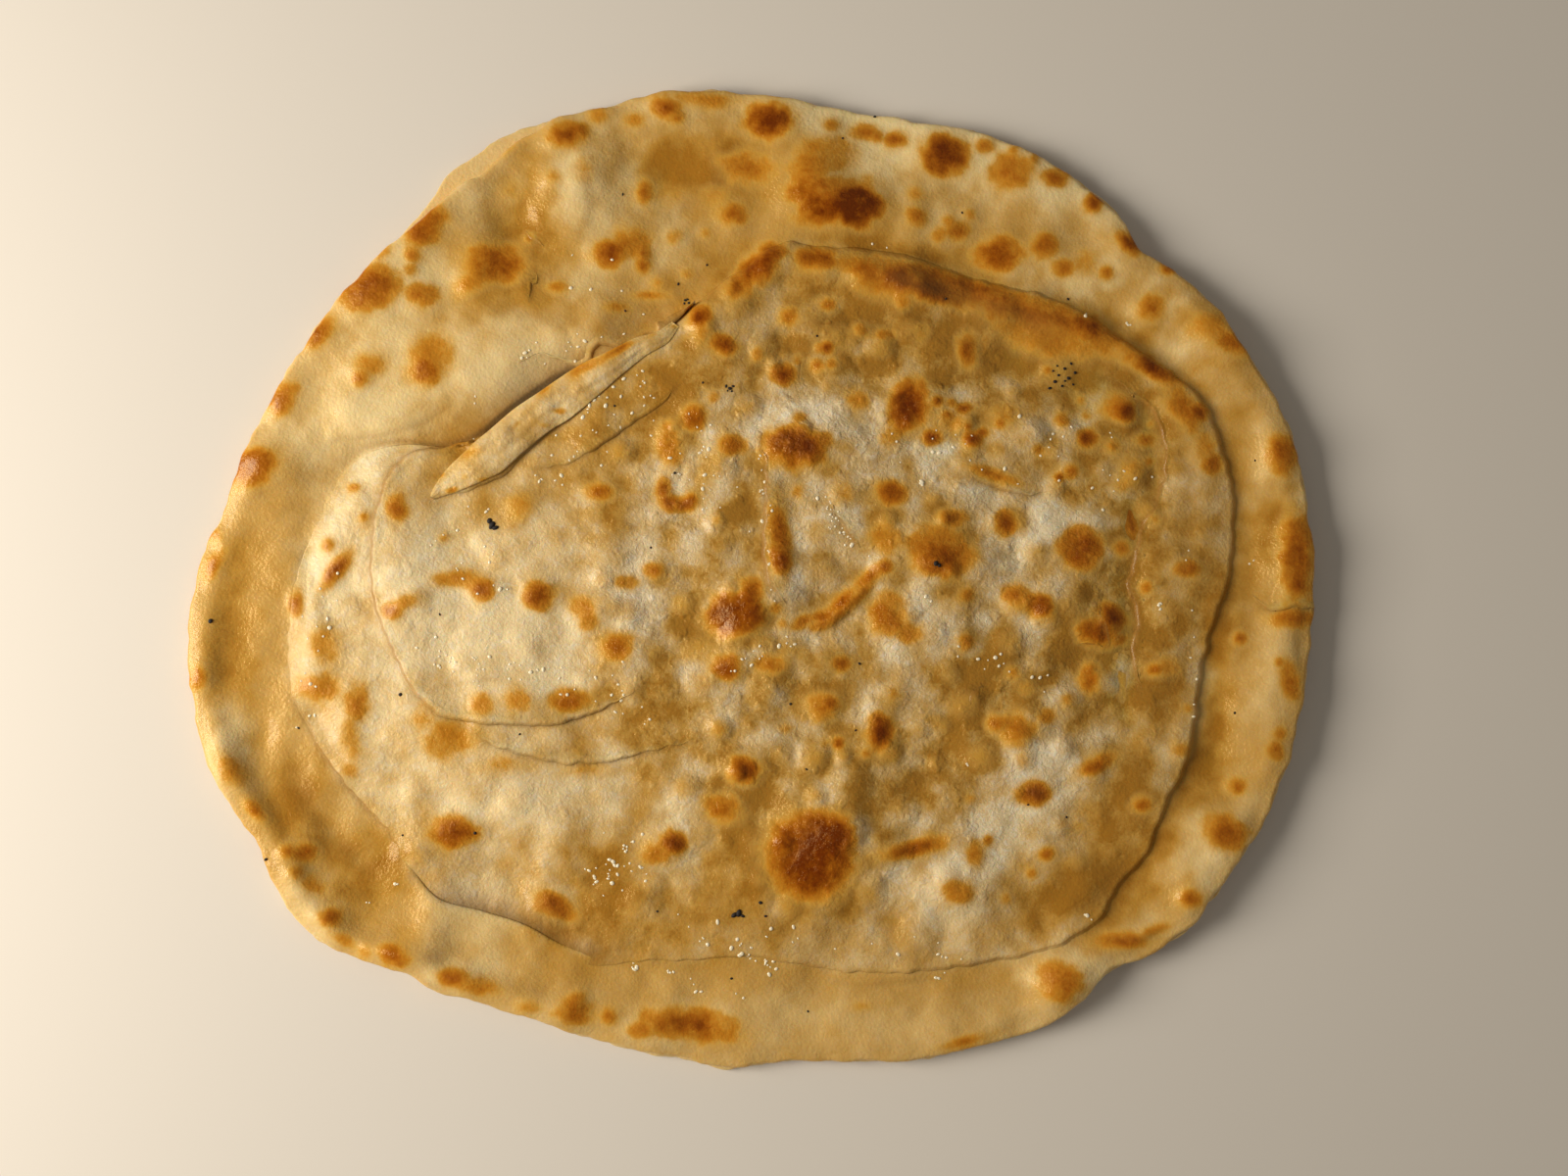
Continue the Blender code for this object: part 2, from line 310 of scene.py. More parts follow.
# laps of thin dough: the left-hand side of each path stands higher by rise, given at even steps
# along it, and sinks back over reach. Where rise is negative the right-hand side is the higher.
# A soft lap is a gentle fold: a wider step, a fainter line and no thin edge of its own
laps = {
    "smallLap": dict(reach=18, rise=(0.5, 0.7, 0.9, 1.0, 0.9, 0.8, 0.6, 0.1), points=(
        (-50, 33.5), (-56, 31), (-61, 29), (-65.4, 27.7), (-71, 26.6), (-76, 23.6), (-79, 17.8),
        (-80.6, 9.9), (-81, 0), (-79.4, -8), (-76.8, -14.5), (-73.8, -21), (-71.5, -24.6), (-69.2, -26.6),
        (-66.7, -28.9), (-63.6, -30), (-58.5, -30.7), (-53.4, -31.1), (-45, -31.4), (-39.9, -30.8),
        (-34.8, -29.2), (-30.2, -27.4), (-24.5, -24.3), (-20.4, -21))),
    "secondFold": dict(reach=9, rise=(0.2, 0.5, 0.1), points=(
        (-63.1, -30.2), (-59, -32.8), (-56.4, -34.9), (-52.3, -36.6), (-48.2, -37.9), (-40, -39.4),
        (-32.2, -39.4), (-27.1, -38.4), (-20.4, -36.9), (-14.3, -35.6), (-9.7, -34.3))),
    "rightFold": dict(reach=12, rise=(-0.25, -0.5, -0.5, -0.35, -0.3, -0.3, -0.2), points=(
        (85, -27), (83.6, -24.8), (82.7, -20.8), (82.2, -17.9), (82.2, -14.4), (83.3, -11), (83, -6.9),
        (81.9, -4.1), (81.5, -1.2), (82.2, 1.7), (83.3, 6.7), (84.5, 11.3), (86.8, 14.8), (88.5, 19.9),
        (89.1, 23.4), (89.1, 28), (88.5, 31.4), (87.1, 34.9), (85.1, 37.2), (81.9, 39.2), (79.9, 41.5),
        (76.4, 42.9), (73, 43.8))),
    "lensBubble": dict(soft=True, reach=5, rise=(0.1, -0.25, -0.1), points=(
        (-45, -26.6), (-50.3, -22.3), (-55.9, -21.8), (-61, -22.6), (-68.7, -23.6))),
    "slitCrease": dict(reach=7, rise=(0.15, 0.45, 0.2), points=(
        (-48, 23.2), (-45, 23.5), (-39.9, 24.3), (-34.8, 26.9), (-30.2, 29.9), (-28.1, 31.4), (-24.5, 34),
        (-20.4, 36.6), (-17.4, 39.1), (-15.3, 41.2))),
    "flapFoot": dict(reach=6, rise=(0.3, 0.4, 0.1), points=(
        (-66.7, 17.4), (-62.6, 18.1), (-58.5, 19.7), (-55.9, 21), (-53.3, 22.2), (-49, 26.5), (-45, 30),
        (-41.9, 32.5), (-38.9, 33.8))),
    "membrane": dict(reach=10, rise=(0.0, 0.55, 0.3), points=(
        (-50, 46), (-46, 48), (-40.9, 47.1), (-37.3, 46), (-35.3, 47.3), (-33.7, 50.2), (-31.7, 50.8),
        (-29.6, 50.2), (-26.1, 50.8), (-23, 52.7), (-18.4, 53.6), (-16.3, 55.5), (-12.2, 59.1))),
    "bumpEnd": dict(soft=True, reach=9, rise=(0.2, 0.45, 0.2), points=(
        (-92, 29), (-88, 30), (-81, 30.4), (-75, 32), (-70, 34), (-64, 38))),
    "innerRise": dict(reach=7, rise=(0.2, 0.6, 0.6, 0.3), points=(
        (2.1, 26.9), (3.4, 24.3), (3.4, 14), (3.1, 9), (3.6, 0), (6.2, -4.1), (8.2, -6.7))),
    "innerArc": dict(reach=5, rise=(0.2, 0.5, 0.2), points=(
        (17.2, 15.1), (19, 12.1), (21, 9.5), (23.1, 5.9))),
    "topTear": dict(reach=5, rise=(0.1, 0.35, 0.1), points=((-49, 75), (-47, 73), (-45, 71.6))),
    "sideTear": dict(reach=5, rise=(0.1, -0.35, -0.1), points=(
        (-47.6, 66.8), (-46.4, 65.5), (-46.6, 63.7), (-48, 63.7), (-47.8, 61.4), (-48.2, 58.8))),
    "rightTear": dict(reach=6, rise=(0.1, 0.45, 0.1), points=(
        (46, 22.9), (50.5, 20.2), (58, 17.8), (63, 18))),
    "blisterTear": dict(reach=4, rise=(0.1, 0.35, 0.1), points=(
        (74.7, -6.7), (74.9, -9.3), (76.4, -12.1), (77, -15.6))),
    "blisterTearLow": dict(reach=4, rise=(0.1, 0.3, 0.1), points=(
        (70.1, -14.4), (72.4, -14.2), (75.2, -15.3))),
    "whiteCurl": dict(reach=4, rise=(0.15, 0.5, 0.15), points=((49.5, -23.5), (47.6, -25.5), (47, -28))),
    "fineLine": dict(soft=True, reach=5, rise=(0.1, 0.2, 0.1), points=(
        (50, -16), (54, -18), (60, -17.5), (63, -18), (65, -20))),
    "rimCrack": dict(reach=6, rise=(0.1, 0.45, 0.4), points=(
        (107.5, -3.8), (108.3, -5.2), (110.3, -6.9), (112.6, -6.7), (115.5, -6.1), (120.1, -7))),
    "rimFold": dict(soft=True, reach=6, rise=(0.2, -0.5, -0.2), points=(
        (90.2, -70.8), (87.9, -73.6), (84.5, -76.2), (79.9, -76.7), (74.7, -76.8))),
    "bottomTwin": dict(soft=True, reach=4, rise=(0.05, 0.3, 0.1), points=(
        (16, -86.3), (24, -86.9), (32, -86.3), (42, -85.6))),
    "spotArc": dict(soft=True, reach=4, rise=(0.1, 0.3, 0.1), points=(
        (58, -84.5), (59.5, -87.5), (63, -90.3))),
    "topPucker": dict(soft=True, reach=6, rise=(0.1, 0.35, 0.1), points=(
        (-4, 101), (-5.5, 97), (-7.2, 95), (-9, 94.5))),
    "pleat": dict(soft=True, reach=9, rise=(0.1, 0.15, 0.15, 0.15, 0.1, 0.1), points=(
        (-52.7, 91), (-51.6, 86), (-49, 81.7), (-47, 77), (-43.8, 72), (-39.8, 68))),
}

# creases and wrinkles: valleys along each path; a negative depth is a roll of dough, browned
# on top by toast
creases = (
    dict(depth=-0.95, width=1.5, toast=0.55, points=(
        (9, -10.8), (12, -11), (16.2, -10), (20, -7), (24.5, -2.6), (28, 1))),
    dict(depth=0.3, width=0.7, points=((14, -12.8), (18, -10.8), (22, -7))),
    dict(depth=0.8, width=3.2, points=(
        (83.5, -26), (80.5, -16), (81, -4), (83, 10), (87, 20), (87, 31), (82.5, 37.5), (74, 42))),
    dict(depth=0.22, width=0.9, points=((0, 50.4), (6.2, 52.2), (11.3, 53.5), (15.9, 54.5), (24, 55))),
    dict(depth=0.22, width=0.8, points=(
        (-1, 43.8), (4.1, 44.8), (8.2, 46.3), (13.9, 47.8), (20.5, 47.1))),
    dict(depth=0.14, width=0.8, points=((-8, 46), (2, 47.5), (10, 49.5), (18, 51), (27, 51))),
    dict(depth=0.2, width=1.1, points=((22, 57), (34, 56.5), (46, 55), (58, 52.5), (70, 47.5))),
    dict(depth=0.14, width=1.0, points=((30, 52), (42, 51), (54, 49), (66, 45.5))),
    dict(depth=0.16, width=0.9, points=((45, 60), (55, 58), (65, 56), (71, 53.5))),
    # the downslope below the ridge: a shallow valley with painted shade along it
    dict(depth=0.5, width=2.9, points=((22, 67), (36, 62.5), (50, 58), (62, 53.5), (73, 48.5))),
    dict(depth=0.2, width=1.6, points=((-36, 87), (-34, 80), (-35, 74))),
    dict(depth=0.3, width=2.0, points=((-22, 78), (-14, 80), (-6, 86), (-5.5, 92))),
    dict(depth=0.35, width=2.6, points=((-100, -34), (-96, -46), (-88, -57), (-77, -66))),
    dict(depth=0.15, width=1.4, points=((-96, -24), (-90, -36), (-83, -45))),
    dict(depth=0.3, width=2.2, points=((68, -73), (76, -67), (82, -60.5))),
    dict(depth=0.14, width=1.2, points=((-88, 10), (-86, 4), (-87, -4))),
    dict(depth=0.2, width=1.8, points=((-60, 60), (-50, 57), (-42, 55.5), (-34, 55.5))),
    dict(depth=0.22, width=1.8, points=((92, 30), (94, 20), (93.5, 8), (91, -6))),
    dict(depth=0.18, width=1.6, points=((88, -12), (90, -26), (87, -38))),
    dict(depth=0.18, width=1.4, points=((-38, -60), (-34, -66), (-30, -72))),
    dict(depth=0.14, width=1.6, points=((-20, -72), (0, -74.5), (22, -76), (44, -74))),
    dict(depth=0.16, width=1.6, points=((30, -40), (44, -44), (56, -44), (68, -49))),
    dict(depth=0.12, width=1.4, points=((-30, -50), (-20, -46), (-12, -48))),
    dict(depth=0.14, width=1.5, points=((52, 22), (48, 12), (50, 4), (46, -8))),
    dict(depth=0.16, width=1.6, points=((-20, 10), (-26, 2), (-24, -8), (-14, -14))),
    dict(depth=0.2, width=1.8, points=((104, 20), (107, 8), (106.5, -8), (103, -24))),
)

# where the griddle browned it: (x, y, half width, half height, turned by degrees, strength) for
# an oval, (x, y, radius, strength) for a round spot
toastSpots = (
    # top left
    (-70.2, 75.3, 2.8, 4.5, -35, 0.68), (-82, 61.8, 5.5, 3.8, 20, 0.76), (-70.7, 60.5, 2.8, 2.2, 0, 0.6),
    (-55.3, 67.6, 5.5, 3.8, 0, 0.7), (-61, 63, 3, 2, 30, 0.4), (-73, 69, 1.2, 0.45),
    (-73.4, 66, 1.2, 0.45), (-79.5, 70, 2, 1.5, 40, 0.35), (-48.3, 73.3, 0.8, 0.5),
    (-48.6, 96, 2, 1.2, 25, 0.3), (-53.8, 92.5, 2.5, 1.5, 30, 0.35), (-52, 83.4, 2, 0.25),
    (-39.8, 95.3, 3.2, 2, 0, 0.75), (-36.8, 96.5, 1, 0.6), (-42.9, 86.3, 1.5, 0.3), (-36, 87.8, 2.5, 0.3),
    (-30.6, 69.7, 3, 2.2, 0, 0.75), (-26, 72.2, 4, 3, 0, 0.5), (-23.2, 69.9, 1, 0.6),
    (-23.5, 67.3, 1.3, 0.6), (-41.9, 62.5, 1.8, 1, 0, 0.5), (-23.2, 83.5, 1.4, 1.8, 0, 0.6),
    (-14, 65.5, 1, 0.45), (-20.4, 63.5, 1.2, 0.35), (-22, 60.8, 2.5, 0.7, 0, 0.5),
    (-29, 58, 2, 1, 0, 0.45), (-16.8, 73.7, 1.5, 0.35), (-10, 74.5, 1, 0.3),
    # top
    (-13, 103.5, 9, 1.2, -3, 0.32), (-33, 99.6, 2, 1.5, 0, 0.4), (-25.5, 98.8, 1.8, 1.4, 0, 0.4),
    (-18.6, 101.2, 2.2, 1.6, 0, 0.7), (-16.3, 99.4, 1.5, 1.2, 0, 0.5), (-9, 102.6, 3.5, 1.3, 0, 0.4),
    (3.8, 98.6, 4.2, 3.2, 0, 0.95), (17.3, 97.8, 1.5, 1.2, 0, 0.45), (24.1, 96.3, 2.2, 1.4, 0, 0.6),
    (27.2, 95.3, 1, 0.5), (31, 94.5, 1.8, 1.3, 0, 0.65), (-1, 88.5, 5, 3, -10, 0.55),
    (12.3, 88.2, 4, 3, 0, 0.45), (16.4, 91.2, 6, 4, 0, 0.38), (11.8, 83.2, 4, 3, 0, 0.6),
    (15.4, 79.4, 5, 3, 10, 0.7), (22.6, 79.9, 4.5, 3.6, 0, 1.0), (20, 81, 8, 5, 0, 0.5),
    (-4, 78.4, 2.5, 2, 0, 0.6), (-8, 82.5, 2.5, 1.8, 0, 0.35),
    # top right
    (41.8, 91, 4.2, 3.6, 0, 0.95), (50.5, 93.1, 1.6, 1.2, 0, 0.5), (56.6, 92, 1, 0.4),
    (60.9, 90, 0.9, 0.4), (56, 87.4, 4, 3.5, 0, 0.55), (65.5, 86, 2.2, 1.4, 0, 0.75),
    (73.7, 80.3, 1.5, 0.8), (81, 71.2, 2.2, 1.2, -45, 0.8), (89.4, 65.8, 1.3, 0.8, -20, 0.6),
    (76.6, 65.5, 1.1, 0.6), (63.5, 71.3, 2.6, 2.4, 0, 0.6), (53.4, 69.6, 4.2, 3, 0, 0.8),
    (44.8, 74.5, 2, 1.6, 0, 0.6), (40.7, 73.9, 1.5, 0.45), (42.8, 77, 1.2, 0.45), (47.4, 78.5, 1.2, 0.35),
    (35.6, 77.9, 2, 0.5), (35.6, 82.5, 1.5, 0.35), (67.2, 66.7, 2, 1.6, 0, 0.55), (71.8, 67.6, 2.5, 0.35),
    (85.9, 57.8, 2.4, 2.2, 0, 0.6), (102.5, 49.8, 3, 1.8, -35, 0.65), (98, 53.5, 3.5, 3, 0, 0.4),
    # along the ridge; the long ovals on the band below it are browning and painted shade of its downslope
    (1, 66, 6.5, 2.8, 48, 0.75), (3, 68, 2.4, 1.6, 45, 0.8), (14, 68.3, 4, 2.5, 0, 0.65),
    (23, 66.6, 4.5, 2, -10, 0.5), (31.8, 63.9, 3.5, 1.6, -25, 0.85), (38, 61.3, 3.5, 1.6, -20, 0.9),
    (43.6, 63.4, 2, 1, -10, 0.6), (50.2, 61.4, 1.2, 1, 0, 0.7), (42, 62.5, 12, 3.2, -13, 0.6),
    (58, 57.5, 13, 3.2, -14, 0.54), (72, 53, 7, 3, -28, 0.55), (64, 51.5, 10, 4, -14, 0.45),
    (29, 64, 7, 4, -15, 0.5), (54, 58.5, 2.5, 2, 0, 0.45), (72.7, 53.3, 1.8, 1.4, 0, 0.8),
    (85.9, 45, 3, 1.5, -40, 0.85), (85, 45.5, 7, 1.8, -32, 0.55), (92.5, 36, 4.5, 2.3, -60, 0.6),
    (96.1, 35, 1.6, 0.8), (97.1, 27.4, 2, 2.5, 0, 0.45), (98.7, 23.9, 1.8, 0.6), (23.6, 64.1, 1.5, 0.4),
    # upper middle
    (16.4, 58.4, 1.5, 1, 0, 0.6), (8, 55.8, 1.7, 1.5, 0, 0.6), (-11, 55.5, 2, 1.8, 0, 0.85),
    (-10.5, 52.3, 1.6, 2.2, 0, 0.4), (32.8, 58.7, 1.2, 0.45), (-6.1, 49.4, 2.2, 1.6, -15, 0.85),
    (1.3, 47.4, 1.1, 0.5), (14.1, 45.1, 1.1, 0.6), (17.2, 45.6, 0.9, 0.5), (14.6, 48.9, 0.8, 0.5),
    (16.2, 48.9, 0.9, 0.8), (7, 43.3, 2.2, 1.8, 0, 0.8), (9.8, 46.4, 0.8, 0.4), (23.6, 52.8, 1.2, 0.45),
    (28.7, 51.8, 1.6, 1, 0, 0.5), (-12.5, 33.9, 2.2, 2, 0, 0.75), (-7.9, 38.2, 1.2, 0.4),
    (-17.3, 27.4, 2.4, 3.8, 10, 0.5), (-18.4, 31.5, 1.5, 0.35), (-28.3, 26.6, 1.5, 0.25),
    (-4, 27.9, 2.6, 2, 0, 0.6), (9.6, 27.5, 6.5, 4, 0, 0.66), (7.4, 28.9, 2.8, 2.4, 0, 0.72),
    (12.3, 27.4, 2.2, 2, 0, 0.9), (10.3, 33.8, 1.2, 0.4), (22.8, 37.7, 2.2, 1.8, 0, 0.45),
    (33.7, 36.3, 3.2, 4.5, -15, 0.95), (29.2, 29.5, 2, 0.35), (30.2, 17.7, 2.6, 2.2, 0, 0.78),
    (46.5, 48.6, 1.7, 2.8, 0, 0.65), (36.4, 52.3, 1.5, 0.35),
    # peppered group on the right
    (45.6, 36, 1, 0.7, 0, 0.9), (39.9, 37.4, 0.8, 0.7), (43, 37.1, 0.8, 0.5), (41.9, 34.4, 0.7, 0.6),
    (38.7, 29.7, 1.5, 1.1, 0, 0.85), (47.6, 29.4, 1.3, 1.1, 0, 0.9), (49.5, 30.8, 0.8, 0.8),
    (46.4, 31.9, 0.6, 0.6), (42.5, 33, 3, 2, 0, 0.35), (54.3, 34.6, 2.5, 2, 0, 0.4),
    (53.4, 32.7, 0.8, 0.6), (66.9, 33.7, 1.4, 0.5), (72.1, 34.5, 0.8, 0.4), (70.9, 37.9, 0.8, 0.4),
    (72.1, 29.4, 1.8, 1.5, 0, 0.8), (77.6, 27.9, 1.3, 0.45), (80.2, 35.4, 1.8, 0.88),
    (78.5, 36.5, 3, 2.4, 0, 0.5), (84.8, 29.4, 1.6, 1.1, 0, 0.6), (85.9, 32.7, 0.7, 0.4),
    (85.6, 24.6, 0.8, 0.5), (61.7, 27, 1, 0.5), (68.6, 22.2, 1.3, 0.7), (66.1, 21.3, 0.7, 0.8),
    (81.9, 23.4, 2, 2.5, 0, 0.4), (79.9, 19.6, 1.5, 0.35), (52, 21.7, 4.5, 1, -18, 0.6),
    (63.8, 44.3, 0.8, 0.5),
    # middle
    (-32.7, 18, 2.2, 1.5, 0, 0.6), (-18.8, 18.6, 1.2, 1.6, 0, 0.7), (-17.6, 15.6, 1.8, 1.4, -40, 0.7),
    (-14.4, 15.2, 2, 1.2, 15, 0.7), (-12.8, 16.2, 1, 0.6), (6, 8, 1.7, 5.6, 6, 0.72),
    (6.2, 3, 1.8, 2.4, 0, 0.75), (20, 17.8, 2, 0.3), (28.7, 8, 3, 0.45), (9.8, 18, 1.2, 0.4),
    (-7.1, 11.8, 0.9, 0.35), (0.2, -3.2, 1.9, 2.2, 20, 0.72), (-3.8, -8.4, 5, 3.8, 15, 0.92),
    (1.2, -9, 1.6, 1.5, 0, 0.72), (5, -7, 1, 0.5), (-5.1, -19.4, 2.4, 2, 0, 0.8),
    (3.9, -18.9, 2.6, 2, 0, 0.5), (6.7, -10.2, 0.9, 0.4), (28.7, 1.8, 1.1, 0.7),
    (29.2, -8.2, 3.5, 4, 0, 0.55), (33.8, -12.3, 2.5, 1.8, 0, 0.5), (54.5, 11.2, 1.8, 2, 0, 0.8),
    (43.6, 12.4, 2.5, 1.6, 0, 0.6), (40.2, 5, 6.5, 4.5, -15, 0.68), (39.5, 2.3, 2.4, 1.6, 0, 0.82),
    (70.6, 6, 4, 3.8, 0, 0.8), (79.5, 6, 1.3, 0.6), (86.5, 12.1, 1, 0.4), (46.2, -4.1, 1.3, 0.55),
    (56.6, -4.1, 2.8, 2.2, 0, 0.55), (61.2, -6.4, 2.2, 2, 0, 0.82), (77.3, -8.7, 3, 2, -30, 0.75),
    (74.1, -12.1, 3.5, 2.5, -20, 0.8), (79.3, -13.6, 1.5, 1, 0, 0.5), (93.4, 1.4, 2.5, 1.5, 0, 0.6),
    (84.5, -2.4, 1, 0.6), (104.6, -13.4, 1.1, 0.6), (11, -10, 2, 1, 20, 0.6),
    (15.5, -8.6, 2.4, 1, 15, 0.6), (19.5, -5.6, 3, 1.2, 42, 0.66), (25, -0.4, 3, 1.1, 42, 0.6),
    # left
    (-93, 52.2, 3, 1.8, 50, 0.65), (-100.4, 38, 3, 2, 60, 0.65), (-107, 23.3, 4.3, 3.3, 25, 0.75),
    (-101.5, 25, 4, 3.5, 0, 0.2), (-69.8, 44, 2.2, 2.4, 0, 0.72), (-69, 47, 4.6, 5.2, -25, 0.42),
    (-84, 42.5, 1.5, 0.5), (-81.6, 45.8, 3, 2.2, 0, 0.4), (-75.8, 14.6, 1.8, 2.8, 0, 0.6),
    (-85.6, 19, 1.1, 0.8, 0, 0.45), (-83, 12.5, 0.9, 0.4), (-91, 6.4, 1.2, 0.5), (-49.3, 14.8, 2.5, 0.35),
    (-65.9, 8.2, 0.8, 0.35), (-115, 8.5, 1.2, 0.4), (-115.4, 2.3, 2.5, 1.4, 60, 0.6),
    (-89, 1.2, 1.2, 3.4, -38, 0.75), (-97.8, -5.9, 1.3, 2.2, 0, 0.6), (-118, -22, 1.6, 2, 0, 0.5),
    (-91.2, -14.8, 3, 3.5, 0, 0.4), (-92.3, -24, 4.5, 2.8, 0, 0.45), (-84, -27, 2.5, 3.5, 0, 0.45),
    (-85.6, -34.8, 2, 5, 0, 0.33), (-85.8, -41.4, 1.6, 0.36), (-76.4, -7.4, 1.8, 1.5, 0, 0.6),
    (-73.4, -5.9, 2.5, 1.2, 20, 0.45), (-65.5, -1, 2.3, 1.5, 0, 0.35), (-61, -0.6, 3, 1.6, -15, 0.45),
    (-57.5, -3.3, 2, 0.72), (-45.5, -4.3, 2.4, 0.82), (-64.1, -34.8, 5, 3.6, 15, 0.45),
    (-57.5, -27.6, 2.2, 2, 0, 0.5), (-49.8, -26.6, 3, 2.5, 0, 0.4), (-52.9, -40.4, 4, 1.8, 0, 0.32),
    (-110.8, -41.4, 4, 2, -55, 0.4), (-105.4, -49.8, 2, 1.1, -50, 0.6), (-63.5, -54.7, 4, 2.8, 0, 0.78),
    (-70, -30, 2.5, 0.33), (-20.9, 1.3, 1.8, 1.2, 0, 0.55), (-26.5, -1.3, 2, 1.2, 0, 0.45),
    (-36, -6.9, 2.5, 2, 0, 0.45), (-34.7, -9.7, 2, 0.4), (-28.6, -15.3, 3, 2.5, 0, 0.6),
    (-38.8, -26.6, 3, 1.8, 0, 0.75), (-35.2, -41.4, 4, 1.5, 0, 0.28),
    # lower middle
    (19.2, -18.9, 1.5, 1.3, 0, 0.65), (15.4, -28.1, 3, 2.5, 0, 0.5), (16.9, -27.1, 1.2, 0.65),
    (30.5, -25.1, 1.5, 0.35), (27.6, -33.2, 2.2, 2.9, 10, 0.92), (18.6, -35.7, 0.9, 0.7),
    (15.7, -35.8, 1, 0.35), (24.5, -37.9, 0.9, 0.5), (7.5, -32.6, 1.2, 0.8, 0, 0.35),
    (-1.5, -41.4, 2.8, 2.2, 0, 0.8), (-6.1, -49.6, 3.5, 2.5, -15, 0.55), (12.6, -59.2, 8.6, 8.2, 0, 0.88),
    (13, -65, 6, 4, 0, 0.5), (16.8, -55, 4.2, 3.6, 0, 0.95), (-16.6, -57, 2.2, 0.75),
    (-19.9, -59.3, 3, 2, 0, 0.5), (-41.9, -70.5, 3.5, 2, -25, 0.72),
    # lower right
    (45.9, -14.4, 1.4, 0.6), (56, -20.8, 1.3, 0.4), (58.9, -23.7, 1.5, 0.3),
    (72.4, -21.9, 1.5, 2.4, 0, 0.7), (67.5, -26.2, 1.2, 0.35), (62.9, -30, 1.4, 1.2, 0, 0.6),
    (52.2, -31.7, 1.4, 0.65), (56.8, -32.3, 3.3, 2.8, 0, 0.5), (73.8, -40.3, 3, 1.3, 25, 0.7),
    (60, -46.4, 2.8, 2, 0, 0.8), (83.3, -48.7, 1.7, 1.3, 0, 0.6), (86.2, -20.2, 1.3, 1, 0, 0.6),
    (89, -19.6, 2.5, 2, 0, 0.35), (91.7, -37.2, 1.8, 1.6, 0, 0.4), (93.4, -28.3, 0.9, 0.35),
    (103.2, -44.7, 1.6, 1.4, 0, 0.6), (46.8, -47.5, 0.9, 0.35), (35, -57.9, 5, 1.3, 12, 0.75),
    (50.5, -56.3, 0.7, 0.6), (62.9, -59.2, 1.2, 1, 0, 0.65), (59.7, -63.3, 0.9, 0.45),
    (54.3, -68.4, 1, 0.45), (69.5, -53.5, 1, 0.3), (47.6, -59.2, 1.5, 2, 0, 0.5),
    (43.6, -67, 3, 2.5, 0, 0.45),
    # rim, right and bottom
    (113.3, 25.9, 2.6, 3.6, 10, 0.7), (116, 3.5, 2.8, 8, 0, 0.75), (115, -9.3, 3.5, 1.5, 0, 0.7),
    (112.1, -18.5, 0.9, 0.4), (114.2, -22.5, 1.8, 3.5, 8, 0.55), (112.1, -33.5, 1.2, 0.5),
    (111, -37.2, 1.4, 1.6, 0, 0.6), (100.4, -54.5, 4, 3.2, -35, 0.65), (92.9, -68.2, 2, 1.5, 0, 0.65),
    (78.7, -77.4, 4, 1.3, 0, 0.65), (85.5, -75.2, 2.5, 0.8, 20, 0.5), (65.3, -85.6, 4.2, 3.6, -20, 0.6),
    (45.3, -98.7, 4, 0.9, 15, 0.5), (-37.3, -92.5, 3.5, 2.5, 0, 0.55), (-36.5, -90, 1.5, 0.45),
    (-30.1, -93.6, 1.4, 0.5), (-23, -96.4, 2, 1.4, 0, 0.6), (-13, -95.5, 8, 2.8, -8, 0.72),
    (23.6, -91.6, 2, 1, 0, 0.3), (-98.2, -58.5, 1.3, 0.5), (-95.1, -59, 2, 1.6, 0, 0.6),
    (-96.4, -62.8, 1.2, 0.45), (-92.8, -65.9, 2.5, 1.5, -40, 0.4), (-89, -72.5, 1.8, 1.6, 0, 0.7),
    (-86.4, -77.2, 2, 1.1, -30, 0.45), (-81.5, -79.8, 1.3, 0.35), (-75.4, -80.2, 2.7, 2.2, 0, 0.65),
    (-63.1, -85.3, 2.5, 1.6, 0, 0.65), (-57.5, -87.2, 3.5, 1.6, -10, 0.5), (-47.2, -91.3, 2, 1.4, 0, 0.4),
)
